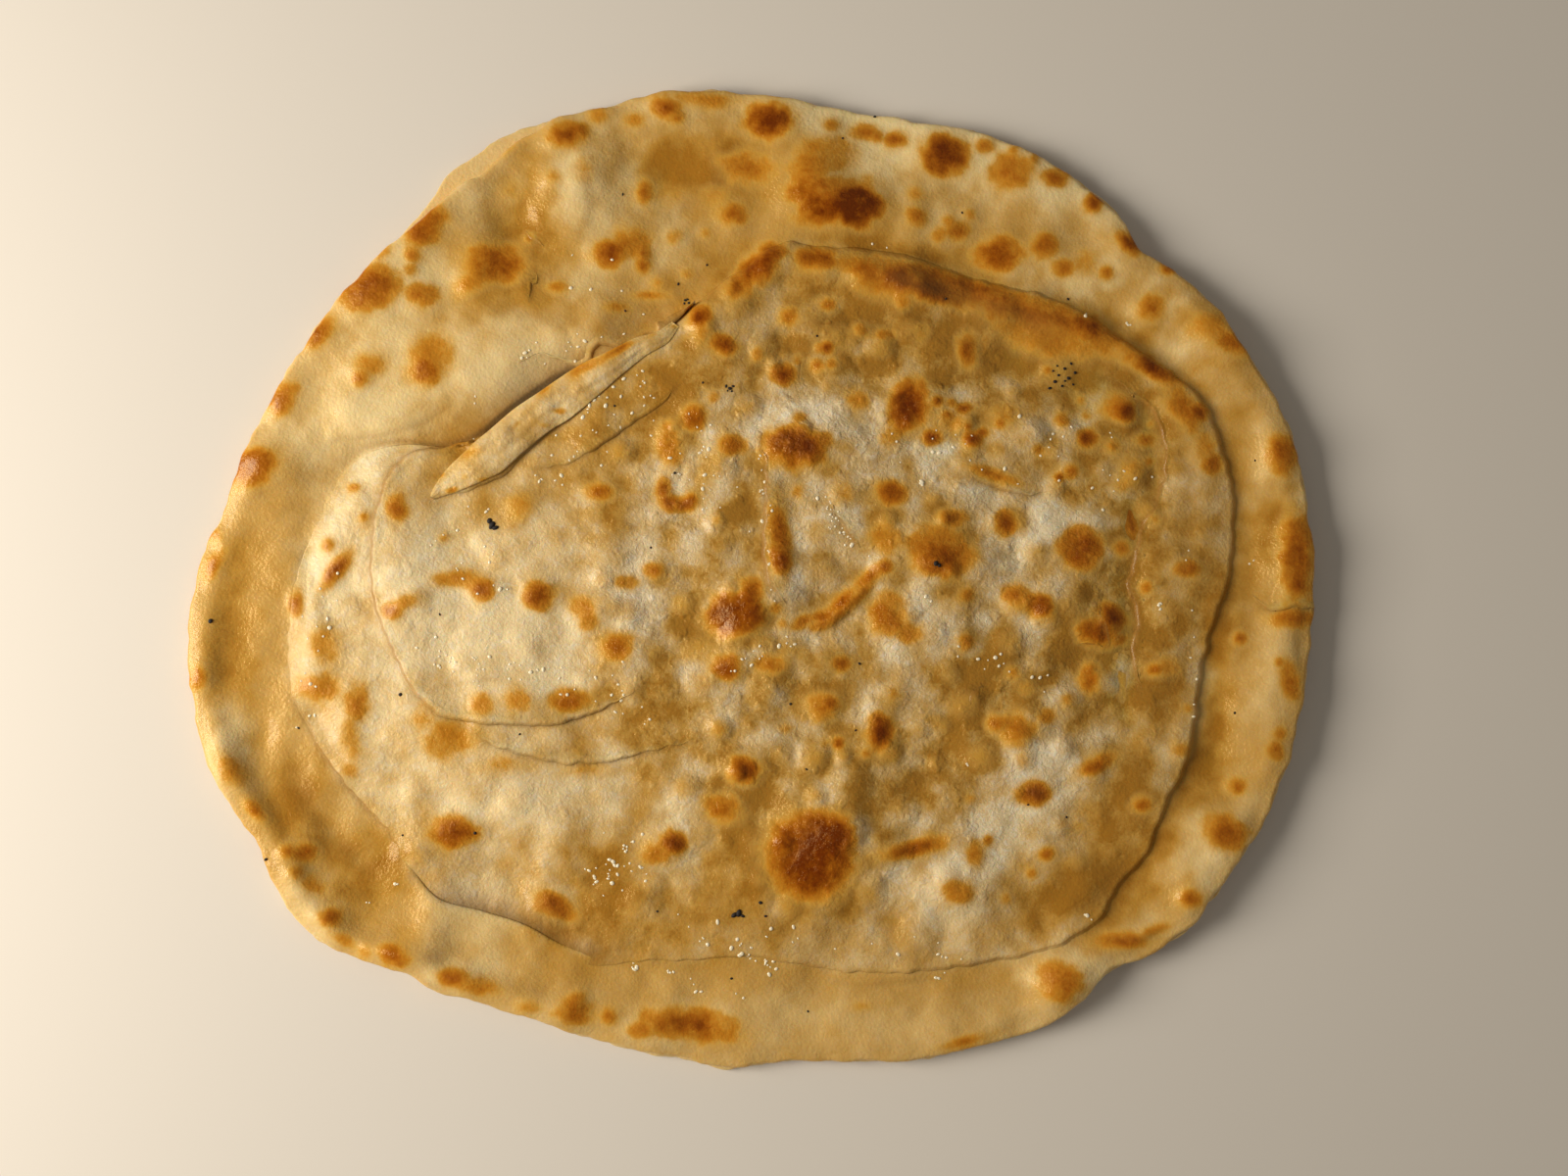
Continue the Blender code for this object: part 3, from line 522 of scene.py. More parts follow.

# where dry flour and air under the skin leave it pale, and painted light on slopes towards
# the lamp, above the slit and along the rim at the top right: (x, y, reach x, reach y, strength)
paleAndLitPatches = (
    (22, 103, 16, 4, 0.6), (45, 98, 14, 4, 0.7), (66, 90, 12, 5, 0.7), (80, 78, 7, 6, 0.6),
    (-37, 84, 9, 9, 1.0), (-33, 66, 11, 5, 0.6), (-17, 99, 9, 4, 0.55), (-82, 35, 11, 8, 1.0),
    (-78, 52, 8, 8, 0.7), (8, 63, 7, 4, 0.3), (70, 64, 8, 4, 0.7), (82, 55, 6, 4, 0.7),
    (-62, -13, 14, 10, 1.0), (-60, -48, 19, 10, 0.45), (-45, -15, 12, 8, 0.6), (-54, 47, 12, 6, 1.0),
    (-92, -4, 5, 10, 0.7), (-86, 12, 7, 12, 0.7), (-62, 86, 6, 8, 0.5), (92, 12, 5, 12, 0.4),
    (53, 0, 8, 5, 0.3), (42, -12, 9, 4, 0.6), (10, -36, 12, 6, 0.4), (65, -41, 8, 5, 0.6),
    (55, -52, 8, 4, 0.6), (45, -65, 8, 7, 0.6), (88, -40, 3.5, 7, 0.3), (111, 20, 3, 8, 0.5),
    (112, -14, 3, 6, 0.35), (109, -26, 3.5, 8, 0.35), (94, -58, 5, 8, 0.6), (84, -72, 6, 4, 0.6),
    (-37, -48, 9, 7, 0.5), (-82, -28, 10, 13, 0.5), (22, 31, 12, 7, 0.4), (-70, 6, 8, 6, 0.6),
    (-25, 12, 9, 6, 0.5), (40, 88, 16, 7, 0.15), (-100, 33, 6, 9, 0.3), (-78, 68, 8, 6, 0.4),
    (60, 92, 16, 5, 0.5), (104, 34, 4, 10, 0.5), (104, -8, 2.5, 20, 0.25), (-58, -76, 10, 7, 0.4),
    (-4, 24, 6, 6, 0.4), (-45, 5, 9, 6, 0.5), (-38, 66, 10, 5, 0.3), (30, -12, 8, 6, 0.3),
    (56, 30, 9, 5, 0.4), (15, 33, 8, 4, 0.6), (-25, 0, 4, 9, 0.5), (-62, -6, 10, 5, 0.4),
    (-42, -22, 5, 6, 0.5), (-28, -34, 4, 4, 0.4), (46, 22, 6, 5, 0.6), (60, -45, 6, 4, 0.5),
    (92, 48, 6, 6, 0.5), (100, -52, 5, 6, 0.5), (68, -82, 8, 4, 0.6), (10, -94, 45, 5, 0.35),
    (-93, -67, 5, 8, 0.8), (-112, -36, 3, 8, 0.6), (-74, 63, 7, 5, 0.8), (-46, 51, 16, 5, 0.7),
    (-18, 75, 6, 9, 0.6), (30, 99, 16, 3, 0.7), (58, 93, 14, 3, 0.6), (26, 88, 5, 4, 0.7),
    (22, 97, 7, 7, 0.8), (30, 99, 14, 5, 0.8), (58, 92, 17, 6, 0.9), (72, 84, 10, 6, 0.8),
    (75, 60, 11, 4, 0.8), (60, 66, 8, 3, 0.6), (92, 47, 4, 6, 0.7), (38, 74, 9, 5, 0.6),
    (-68, -3, 8, 6, 0.6), (-52, 43, 14, 6, 0.7), (-25, -4, 3, 10, 0.7), (9, 8, 3, 8, 0.5),
    (14, 31, 7, 3, 0.8), (46, 15, 6, 5, 0.8), (98, 10, 4, 7, 0.5), (96, -20, 2.5, 10, 0.8),
    (60, -45, 5, 4, 0.7), (38, -71, 5, 4, 0.7), (-18, -62, 5, 8, 0.7), (-46, -48, 5, 6, 0.6),
    (-60, -84, 7, 3, 0.7), (-14, -95, 7, 2.5, 0.7), (68, -84, 9, 3, 0.8), (95, -60, 4, 6, 0.7),
    (118, 15, 3, 6, 0.6), (-97, 27, 5, 4, 0.6), (-42, -23, 5, 4, 0.7), (-41, -69, 6, 4, 0.5),
    (22, 88, 6, 5, 0.6), (50, 94, 10, 4, 0.7), (66, 88, 8, 5, 0.9), (-72, 64, 6, 5, 0.8),
    (-68, 1, 5, 6, 0.7), (50, -55, 6, 4, 0.9), (-60, -70, 7, 4, 0.8), (-14, -53, 4, 6, 0.7),
    (-111, -34, 3, 6, 0.8), (96, -25, 2.5, 7, 0.7), (65, 9, 5, 4, 0.8), (12, 33, 7, 4, 0.8),
    (88, 50, 4, 5, 0.5), (-50, 43, 8, 4, 0.6),
)

# where butter has soaked in and the thin dough looks golden and glassy, and painted shade in
# the valley inside the right fold, below the ridge and beside the coil's right edge
oilyAndShadedPatches = (
    (-112, -14, 4, 16, 0.5), (-97, -50, 6, 9, 0.6), (-85, -64, 9, 6, 0.6), (-62, 27, 8, 5, 0.6),
    (-30, 46, 8, 5, 0.5), (-15, 40, 11, 7, 0.6), (-30, 30, 13, 6, 0.5), (-28, -30, 10, 8, 0.55),
    (47, -40, 9, 6, 0.6), (54, -18, 7, 5, 0.6), (98, -8, 5, 20, 0.8), (98, -42, 3, 12, 0.5),
    (70, -68, 13, 8, 0.8), (40, 17, 12, 12, 0.5), (-16, 89, 9, 8, 0.7), (0, 14, 7, 9, 0.4),
    (-10, 8, 8, 7, 0.35), (-48, 76, 5, 12, 0.7), (-16, -70, 26, 7, 0.5), (97, 47, 6, 9, 0.15),
    (-8, -8, 8, 7, 0.35), (-17, -22, 6, 7, 0.4), (92, 0, 8, 22, 0.5), (30, -44, 9, 6, 0.3),
    (50, 50, 34, 9, 0.9), (78, 48, 12, 9, 0.8), (15, 62, 26, 5, 0.6), (82, -50, 8, 16, 0.7),
    (85, 32, 8, 9, 0.5), (-20, 66, 10, 6, 0.3), (-28, -62, 14, 9, 0.6), (0, -38, 12, 9, 0.4),
    (112, 13, 4, 6, 0.8), (62, 24, 12, 7, 0.35), (10, -48, 20, 8, 0.3), (-55, 60, 14, 8, 0.3),
    (104, 30, 3, 10, 0.6), (105, 0, 3, 10, 0.4), (32, 70, 13, 5, 0.7), (68, 52, 10, 5, 0.9),
    (58, 54, 10, 5, 0.9), (49, -24, 7, 8, 0.8), (67, -12, 9, 6, 0.5), (13, -18, 4, 6, 0.5),
    (0, -60, 5, 11, 0.5), (-33, -74, 7, 4, 0.5), (-33, 14, 4, 6, 0.4), (-12, -35, 5, 4, 0.5),
    (-31, -18, 5, 4, 0.5), (-9, -10, 5, 6, 0.9), (81, 3, 5, 20, 0.7), (83, -25, 4, 10, 0.6),
    (-4, -52, 4, 10, 0.7), (12, -69, 9, 3, 0.6), (72, -14, 8, 6, 0.8), (55, -25, 7, 4, 0.7),
    (45, -27, 4, 6, 0.7), (-32, 13, 4, 8, 0.7), (-54, 12, 5, 4, 0.4), (15, -28, 4, 9, 0.7),
    (22, -35, 4, 6, 0.6), (38, -46, 3, 8, 0.7), (28, 57, 5, 9, 0.8), (55, 31, 4, 4, 0.8),
    (-75, -57, 5, 4, 0.5), (-90, -60, 5, 4, 0.5), (-12, 52, 4, 4, 0.6), (12, 24, 9, 2.5, 0.5),
    (-4, 88, 9, 5, 0.5), (-43, 70, 5, 6, 0.6), (93, -46, 3, 5, 0.6), (-35, -76, 6, 3, 0.5),
    (-5, -8, 6, 5, 0.9), (27, 66, 8, 5, 0.9), (34, 62, 8, 4, 0.8), (62, 52, 10, 5, 1.0),
    (85, 4, 3, 10, 0.9), (83, -20, 3, 8, 0.8), (55, 32, 6, 4, 0.7),
)


def spread(x, y, middleX, middleY, reachX, reachY, turn=0.0, limit=3.0):
    # for the points near an oval: which they are, and their distance in half-sizes
    reach = limit * max(reachX, reachY)
    near = np.flatnonzero((abs(x - middleX) < reach) & (abs(y - middleY) < reach))
    dx, dy = x[near] - middleX, y[near] - middleY
    c, s = np.cos(np.radians(turn)), np.sin(np.radians(turn))
    return near, np.hypot((dx * c + dy * s) / reachX, (dy * c - dx * s) / reachY)


def patchField(x, y, patches, seed):
    # soft-edged patches, their edges broken up by the dough's own unevenness
    uneven = waved(0, x, y, ((9, seed, 0.45), (4, seed + 1, 0.25)))
    field = np.zeros_like(x)
    for middleX, middleY, reachX, reachY, strength in patches:
        near, d = spread(x, y, middleX, middleY, reachX, reachY)
        part = strength * np.exp(-0.7 * np.clip(d + 0.5 * uneven[near], 0, None) ** 2)
        field[near] = 1 - (1 - field[near]) * (1 - part)
    return field


skinLook = {
    # (wave length, seed, height) in millimetres: how the whole skin rolls
    "rolling": ((30, 11, 0.4), (13, 12, 0.2), (6, 13, 0.05)),
    # (spacing, seed, height) of the scattered blisters of the lively part
    "blisters": ((12, 17, 1.0), (7.5, 18, 0.85), (3.8, 16, 0.2)),
    "blisterToast": 0.3,
    "liveliest": (28, -4, 62),  # the middle of the liveliest part, and its reach
    # (wave length, seed, share): how unevenly the butter lies there, how a spot's edge wanders
    "mottling": ((8, 19, 0.2), (18, 20, 0.15)),
    "spotEdge": ((5, 21, 0.12), (2.2, 22, 0.06)),
    "butterContrast": 0.6,
    "oilySeed": 41,
    "paleSeed": 31,
    "lapStep": (-0.45, 0.55),  # a lap steps up between these distances from its path
    "softer": 2.2,  # how many times wider a soft lap's step is
    "fainter": 0.35,  # and how much fainter its line
}


def addSpots(x, y, relief, toast):
    # a spot stands up as a low blister, and is browned in its oval and in a paler halo round it
    uneven = waved(0, x, y, skinLook["spotEdge"])
    for middleX, middleY, *shape in toastSpots:
        halfX, halfY, turn, strength = shape if len(shape) == 4 else (shape[0], shape[0], 0, shape[1])
        size = min(halfX, halfY)
        near, d = spread(x, y, middleX, middleY, 1.1 * halfX, 1.1 * halfY, turn)
        blister = (0.4 + 0.7 * strength) * min(0.42 * size, 1.2)
        relief[near] += blister * np.exp(-((d / 1.45) ** 2.4))
        # its edge wanders, most at a half size of 1.5 to 3 millimetres, and a large spot's edge
        # is the crisper
        d = np.clip(d + uneven[near] * min(1, size / 1.5, 3 / size), 0, None)
        core = np.exp(-((0.98 * d) ** (1.8 + 0.12 * size)))
        halo = np.clip(d - 0.7, 0, None) * size / (0.7 + 0.65 * np.sqrt(size))
        part = strength * (0.65 * core + 0.35 * np.exp(-(halo**2)))
        toast[near] = np.maximum(toast[near], part) + 0.2 * np.minimum(toast[near], part)


def addLaps(x, y, relief, line):
    # each lap steps up within about a millimetre of its path, and a line of painted shade runs
    # along the foot of the step
    for lap in laps.values():
        soft = lap.get("soft", False)
        near, d, along = nearPath(x, y, smoothPath(lap["points"]), lap["reach"])
        rise = evenly(lap["rise"], along)
        ends = smooth(0, 0.06, along) * smooth(1, 0.94, along)
        low, high = (at * (skinLook["softer"] if soft else 1) for at in skinLook["lapStep"])
        height = abs(rise) * ends * smooth(low, high, d * np.sign(rise))
        fade = 1 - smooth(0.1, 1, abs(d) / lap["reach"])
        relief[near] += height * fade
        drawn = np.minimum(0.6, 0.15 + abs(rise)) * ends * (skinLook["fainter"] if soft else 1)
        line[near] = np.maximum(line[near], drawn * bell(d + 0.4 * np.sign(rise), 0.7))


def addCreases(x, y, relief, toast, line):
    # each crease is a valley with a bell's section; a narrow one also gets painted shade along it
    for crease in creases:
        depth, width = crease["depth"], crease["width"]
        near, d, along = nearPath(x, y, smoothPath(crease["points"]), 3 * width)
        ends = smooth(0, 0.25, along) * smooth(1, 0.75, along)
        valley = ends * bell(d, width)
        relief[near] -= depth * valley
        line[near] = np.maximum(line[near], 0.9 * depth * valley * (width < 3))
        toast[near] = np.maximum(toast[near], crease.get("toast", 0) * valley)


def surface(x, y):
    # everything on the skin that depends on the place alone: its relief in millimetres and,
    # from about 0 to 1, how toasted it is, how much painted shade lies along its creases and
    # laps, how buttery it is, which carries painted light and shade too, and how lively, which is
    # blistered and mottled: most in the middle of the coil, least on the outer round
    shape, x, y = x.shape, x.ravel(), y.ravel()
    radius, degrees = polar(x, y)
    look = skinLook
    oily = patchField(x, y, oilyAndShadedPatches, look["oilySeed"])
    pale = patchField(x, y, paleAndLitPatches, look["paleSeed"])
    # the patches bring painted light and shade into the butter field along with butter and flour
    butter = 0.5 + look["butterContrast"] * (oily - pale)
    outside = smooth(-2, 2, radius - coilAt(degrees))
    butter += 0.1 * outside - 0.12 * bell(rimAt(degrees) - radius, 6)
    middleX, middleY, reach = look["liveliest"]
    lively = smooth(1.25, 0.7, np.hypot(x - middleX, y - middleY) / reach) * (1 - outside)
    lively = 0.15 + 0.35 * (1 - outside) + 0.5 * lively
    blisters = [domes(x, y, spacing, seed) for spacing, seed, height in look["blisters"]]
    heights = [height for spacing, seed, height in look["blisters"]]
    relief = waved(0, x, y, look["rolling"])
    relief += lively * sum(height * blister for height, blister in zip(heights, blisters))
    butter += lively * waved(0, x, y, look["mottling"])
    # the middle-sized blisters are browned on top
    toast, line = look["blisterToast"] * lively * blisters[1] ** 1.5, np.zeros_like(x)
    addSpots(x, y, relief, toast)
    addLaps(x, y, relief, line)
    addCreases(x, y, relief, toast, line)
    fields = dict(relief=relief, toast=np.clip(toast, 0, 1), line=line, butter=butter, lively=lively)
    return {name: values.reshape(shape) for name, values in fields.items()}


def makePiece(name, place, faces, material, fields=None):
    # place is the corners' x, y and height; fields become point attributes for the material
    corners = np.stack(place, -1).reshape(-1, 3) * mm
    mesh = bpy.data.meshes.new(name)
    mesh.from_pydata(corners.tolist(), [], faces)
    mesh.update()
    mesh.shade_smooth()
    for field, values in (fields or {}).items():
        attribute = mesh.attributes.new(field, "FLOAT", "POINT")
        attribute.data.foreach_set("value", values.astype(np.float32).ravel())
    mesh.materials.append(material)
    piece = bpy.data.objects.new(name, mesh)
    bpy.context.scene.collection.objects.link(piece)
    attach(piece, "root")
    print(f"{name}: {sum(len(f) - 2 for f in faces)} triangles")
    return piece


def discGrid(rings):
    # a square grid wrapped on a disc: each square ring of it becomes a round one, with its
    # corners' angles evenly spaced. Returns each point's ring and angle, the quads, and the
    # outermost ring's points in order
    steps = np.arange(-rings, rings + 1)
    u, v = (a.ravel() for a in np.meshgrid(steps, steps, indexing="ij"))
    ring = np.maximum(abs(u), abs(v))
    wide = abs(u) >= abs(v)
    with np.errstate(divide="ignore", invalid="ignore"):
        angle = np.where(wide, 45 * v / u + 180 * (u < 0), 90 - 45 * u / v + 180 * (v < 0))
    angle = np.mod(np.nan_to_num(angle), 360)
    side = 2 * rings + 1
    corner = (np.arange(side - 1)[:, None] * side + np.arange(side - 1)).ravel()
    quads = np.stack([corner, corner + side, corner + side + 1, corner + 1], -1)
    edge = np.flatnonzero(ring == rings)
    return ring, angle, quads, edge[np.argsort(angle[edge])]


def toXY(radius, degrees):
    return radius * np.cos(np.radians(degrees)), radius * np.sin(np.radians(degrees))


def ringQuads(rows, columns, closeRows=False):
    # quads between the rows of a grid whose columns close on themselves
    row = np.arange(rows if closeRows else rows - 1)
    column = np.arange(columns)
    here, after = row[:, None] * columns, (row[:, None] + 1) % rows * columns
    nextColumn = (column + 1) % columns
    corners = [here + column, after + column, after + nextColumn, here + nextColumn]
    return np.stack(corners, -1).reshape(-1, 4)


def endFaces(start, rows, columns):
    # the two faces that close the ends of such a grid, whose first corner is start
    first = list(range(start, start + columns))
    last = [corner + (rows - 1) * columns for corner in first]
    return [first[::-1], last]


coilLook = {
    "rings": 155,
    "edgeRings": 10,  # of them, those that run over the edge
    "edgeRounding": 2.4,
    "edgeWander": 0.25,
    "underLip": 3.2,  # how far it runs on under the outer round's lip
    "rightSlope": 0.9,  # how much further out its gentler edge on the right runs
    "tuck": 3.0,
    "bury": 0.4,
}


def makeCoil(material):
    # the coiled middle: a disc of even cells whose last rings run down over the lap's edge, on a
    # quarter oval from its top to its foot (on the right a slope that evens out), and tuck in
    # under it. A face closes it underneath
    look = coilLook
    ring, degrees, quads, edge = discGrid(look["rings"])
    coil, lip = coilAt(degrees), lipShare(degrees)
    right = smooth(75, 55, abs(np.mod(degrees + 180, 360) - 180))
    left = bell(degrees - 207, 16)
    lastRing, footRing = ring == look["rings"], ring == look["rings"] - 1
    topRings = look["rings"] - look["edgeRings"]
    edgeAt = coil + look["underLip"] * lip + look["rightSlope"] * right
    edgeAt += look["edgeWander"] * waves(*toXY(coil, degrees), 5, 51)
    rounding = look["edgeRounding"] * (np.clip(coilRise(degrees) / 1.2, 0.3, 1) + 0.1 * right)
    radius = (edgeAt - rounding) * np.minimum(ring / topRings, 1)
    turn = np.clip((ring - topRings) / (look["edgeRings"] - 2), 0, 1) * np.pi / 2
    radius += rounding * (np.sin(turn) * (1 - right) + turn * 2 / np.pi * right)
    radius -= 0.3 * footRing + look["tuck"] * lastRing
    x, y = toXY(radius, degrees)
    fields = surface(x, y)
    relief = fields.pop("relief")
    top = pressed(coilTop(x, y) + relief)
    foot = pressed(outerTop(x, y) + relief) - 1.2 * lip
    foot = np.minimum(foot, top - 0.4)
    share = np.cos(turn) * (1 - right) + (1 - turn * 2 / np.pi) ** 2 * right
    height = np.where(turn > 0, foot + (top - foot) * share, top)
    height -= 0.3 * right * (turn * 2 / np.pi) ** 5
    height -= look["bury"] * (footRing + 2 * lastRing)
    # shade at the foot of the edge, and under the lip
    edgeShade = (0.1 + 0.6 * left + 0.05 * right) * smooth(0.0, 0.4, turn)
    lipShade = 0.7 * lip * bell(coil - radius, 4.5)
    fields["line"] = np.maximum(np.maximum(fields["line"], edgeShade), lipShade)
    faces = quads.tolist() + [edge[::-1].tolist()]
    return makePiece("innerCoil", (x, y, height), faces, material, fields)


roundLook = {
    "spokes": 1150,
    # the rings under the coil: for each, how far outside the coil's edge it runs and how far it
    # drops below the top, first where the round lies under the coil, then where it laps over it
    "innerRings": ((-7, 1.0, 3.4, 1.9), (-3, 0.8, 3.0, 1.8), (-2.2, 0.6, 2.4, 1.6), (-1.9, 0.45, 1.2, 1.15),
                   (-1.6, 0.3, 0.2, 0.9), (-1.3, 0.18, -0.3, 0.6), (-1.0, 0.08, -0.3, 0.35),
                   (-0.7, 0.02, 0.0, 0.14), (-0.4, 0, 0.5, 0.03), (0, 0, 1.0, 0)),
    "topRings": 62,
    "rimRounding": 1.0,
    "rimDrop": 0.25,  # how far the top has sunk where the rounding starts
    "gap": 0.2,  # how far the upper ply stops short of the lower one
    "ledge": 4.2,  # and how much further at the upper left
    "crimps": ((9, 61, 0.3), (3, 62, 0.08)),  # (wave length, seed, height) of its edge
}


def topInset(degrees):
    # how far inside the rim the upper ply ends: the gap, the ledge, and a little more in three
    # places round the bread
    inset = roundLook["gap"] + roundLook["ledge"] * bell(degrees - 124, 7.5)
    return inset + 0.35 * np.clip(np.sin(np.radians(degrees) * 3.0), 0, 1)


def makeOuterRound(material):
    # the upper ply of the outer round, a closed ring: from under the coil, up over the lip
    # where it laps onto the coil, out to the rim, round its edge and back underneath
    look = roundLook
    degrees = np.arange(look["spokes"]) * 360 / look["spokes"]
    coil, lip = coilAt(degrees), np.clip(lipShare(degrees), 0, 1)
    crimpAt = toXY(rimAt(degrees), degrees)
    crimp = waved(0, *crimpAt, look["crimps"])
    rim = rimAt(degrees) - topInset(degrees) + crimp
    rounding = look["rimRounding"]
    radii, drops = [], []
    for plain, plainDrop, lipped, lippedDrop in look["innerRings"]:
        radii.append(coil + plain + (lipped - plain) * lip)
        drops.append(plainDrop + (lippedDrop - plainDrop) * lip)
    start = radii[-1]
    for share in np.linspace(0, 1, look["topRings"] + 1)[1:]:
        radii.append(start + (rim - rounding - start) * share)
        drops.append(np.zeros_like(coil))
    radii, drops = np.array(radii), np.array(drops)
    x, y = toXY(radii, degrees)
    fields = surface(x, y)
    relief = fields.pop("relief")
    # shade along the coil: deepest in the slit, then on the left, least on the right
    outside = radii - coil
    slit, left = bell(degrees - 142, 17), bell(degrees - 207, 16)
    right = bell(np.mod(degrees + 60, 360) - 45, 45)
    shade = 1.1 * slit * bell(outside - 1.8, 1.8) + 0.3 * slit * bell(outside - 3.5, 4)
    shade = np.maximum(shade, 0.45 * left * bell(outside, 0.8))
    shade = np.maximum(shade, 0.15 * right * bell(outside - 0.9, 2))
    fields["line"] = np.clip(np.maximum(fields["line"], shade), 0, 1)
    rollIn = rounded(rimAt(degrees) - radii, 2.2)
    top = pressed(outerTop(x, y) + relief * (0.35 + 0.65 * rollIn)) - drops
    base = underside(x, y) + form["underPly"]
    top -= look["rimDrop"] * (1 - rollIn)
    # round the rim's edge: a half oval from the last top ring down to the lower ply
    turns = np.linspace(0, np.pi, 9)[1:]
    edgeRadii = radii[-1] + rounding * np.sin(turns)[:, None]
    edgeFoot = base[-1] - 0.25
    edgeTop = (top[-1] + edgeFoot) / 2 + (top[-1] - edgeFoot) / 2 * np.cos(turns)[:, None]
    underRadii = np.stack([rim - 5, rim - 12, coil - 5])
    underTop = underside(*toXY(underRadii, degrees)) + form["underPly"] - 0.3
    radii = np.concatenate([radii, edgeRadii, underRadii])
    height = np.concatenate([top, edgeTop, underTop])
    x, y = toXY(radii, degrees)
    # the added rings look as the last top ring does
    added = len(radii) - len(drops)
    for name, grid in fields.items():
        fields[name] = np.concatenate([grid, np.repeat(grid[-1:], added, 0)])
    faces = ringQuads(len(radii), look["spokes"], closeRows=True).tolist()
    return makePiece("outerRound", (x, y, height), faces, material, fields)


underLook = {
    "rings": 122,
    "edgeRings": 8,  # of them, those that run round the edge
    "ledgeRings": 8,  # and those of the ledge
    "ledge": 40.0,
    "ledgeSink": 0.7,  # how far the ledge sinks away under the upper ply
    # (wave length, seed, height) of its edge and of its face on the griddle side
    "crimps": ((9, 71, 0.3), (3.5, 72, 0.1)),
    "dimples": ((12, 73, 0.25), (5, 74, 0.12)),
}


def makeUnderPly(material):
    # the lower ply: its face on the griddle side, round the edge, and a ledge of its upper
    # face, closed by one hidden face across the middle
    look = underLook
    ring, degrees, quads, edge = discGrid(look["rings"])
    crimpAt = toXY(rimAt(degrees), degrees)
    rim = waved(rimAt(degrees), *crimpAt, look["crimps"])
    faceRings = look["rings"] - look["edgeRings"] - look["ledgeRings"]
    arc = np.clip((ring - faceRings) / look["edgeRings"], 0, 1)
    back = np.clip((ring - faceRings - look["edgeRings"]) / look["ledgeRings"], 0, 1)
    half = form["underPly"] / 2
    radius = (rim - half) * np.minimum(ring / faceRings, 1) + half * np.sin(arc * np.pi)
    radius -= look["ledge"] * back
    x, y = toXY(radius, degrees)
    # its browning is the top's, mirrored and drawn in a little
    fields = surface(-x * 0.96, y * 0.94)
    fields.pop("relief")
    dimple = waved(0, x, y, look["dimples"]) - 0.1
    low = underside(x, y)
    bottom = low + np.clip(dimple, 0, 0.6) * (arc == 0)
    height = np.where(arc > 0, low + half - half * np.cos(arc * np.pi), bottom)
    height += 0.12 * waves(x, y, 6, 75) * (arc >= 1) * smooth(0, 0.15, back)
    height -= look["ledgeSink"] * smooth(0.12, 0.35, back)
    top = arc > 0.5
    fields["toast"] = np.where(top, 0.08, fields["toast"])
    fields["butter"] = np.where(top, 0.2, fields["butter"])
    # the top's lines of painted shade, mirrored, at half strength on the griddle side; none on the edge
    fields["line"] = np.where(top, 0.0, 0.5 * fields["line"])
    faces = quads[:, ::-1].tolist() + [edge.tolist()]
    return makePiece("underPly", (x, y, height), faces, material, fields)


flapLook = {
    # the torn strip along the slit: its crisp upper edge and its foot, both from the ridge end
    # to the tip, and how high it stands there
    "edge": ((-17, 54.6), (-20.4, 52.3), (-24.8, 50.9), (-30.6, 47.8), (-36.2, 45.2), (-41.4, 41.9),
             (-45.6, 39), (-50.6, 35.5), (-53.8, 32.8), (-57.2, 29.8), (-60.2, 27.3), (-63.6, 24.2),
             (-66.3, 21.4), (-68.3, 18.4), (-68.9, 16.9)),
    "foot": ((-15.6, 53.6), (-18, 50), (-23, 47), (-28, 43), (-33, 38.6), (-38.9, 33.8), (-42, 32),
             (-45, 29.8), (-49, 26.3), (-53.3, 22.4), (-56, 21), (-59, 19.6), (-62.6, 18.2), (-66, 17.2),
             (-68.2, 16.4)),
    "rise": (0.3, 0.9, 1.2, 1.3, 1.2, 0.9, 0.4),
    "flakeDrift": (0.1, 0.5, 0.2, 0.6, 0.9, 0.5, 0.8, 0.3, 0.6),
    "stations": 190,
    "over": 26,  # points across its top
    "under": 8,  # and across its underside
}


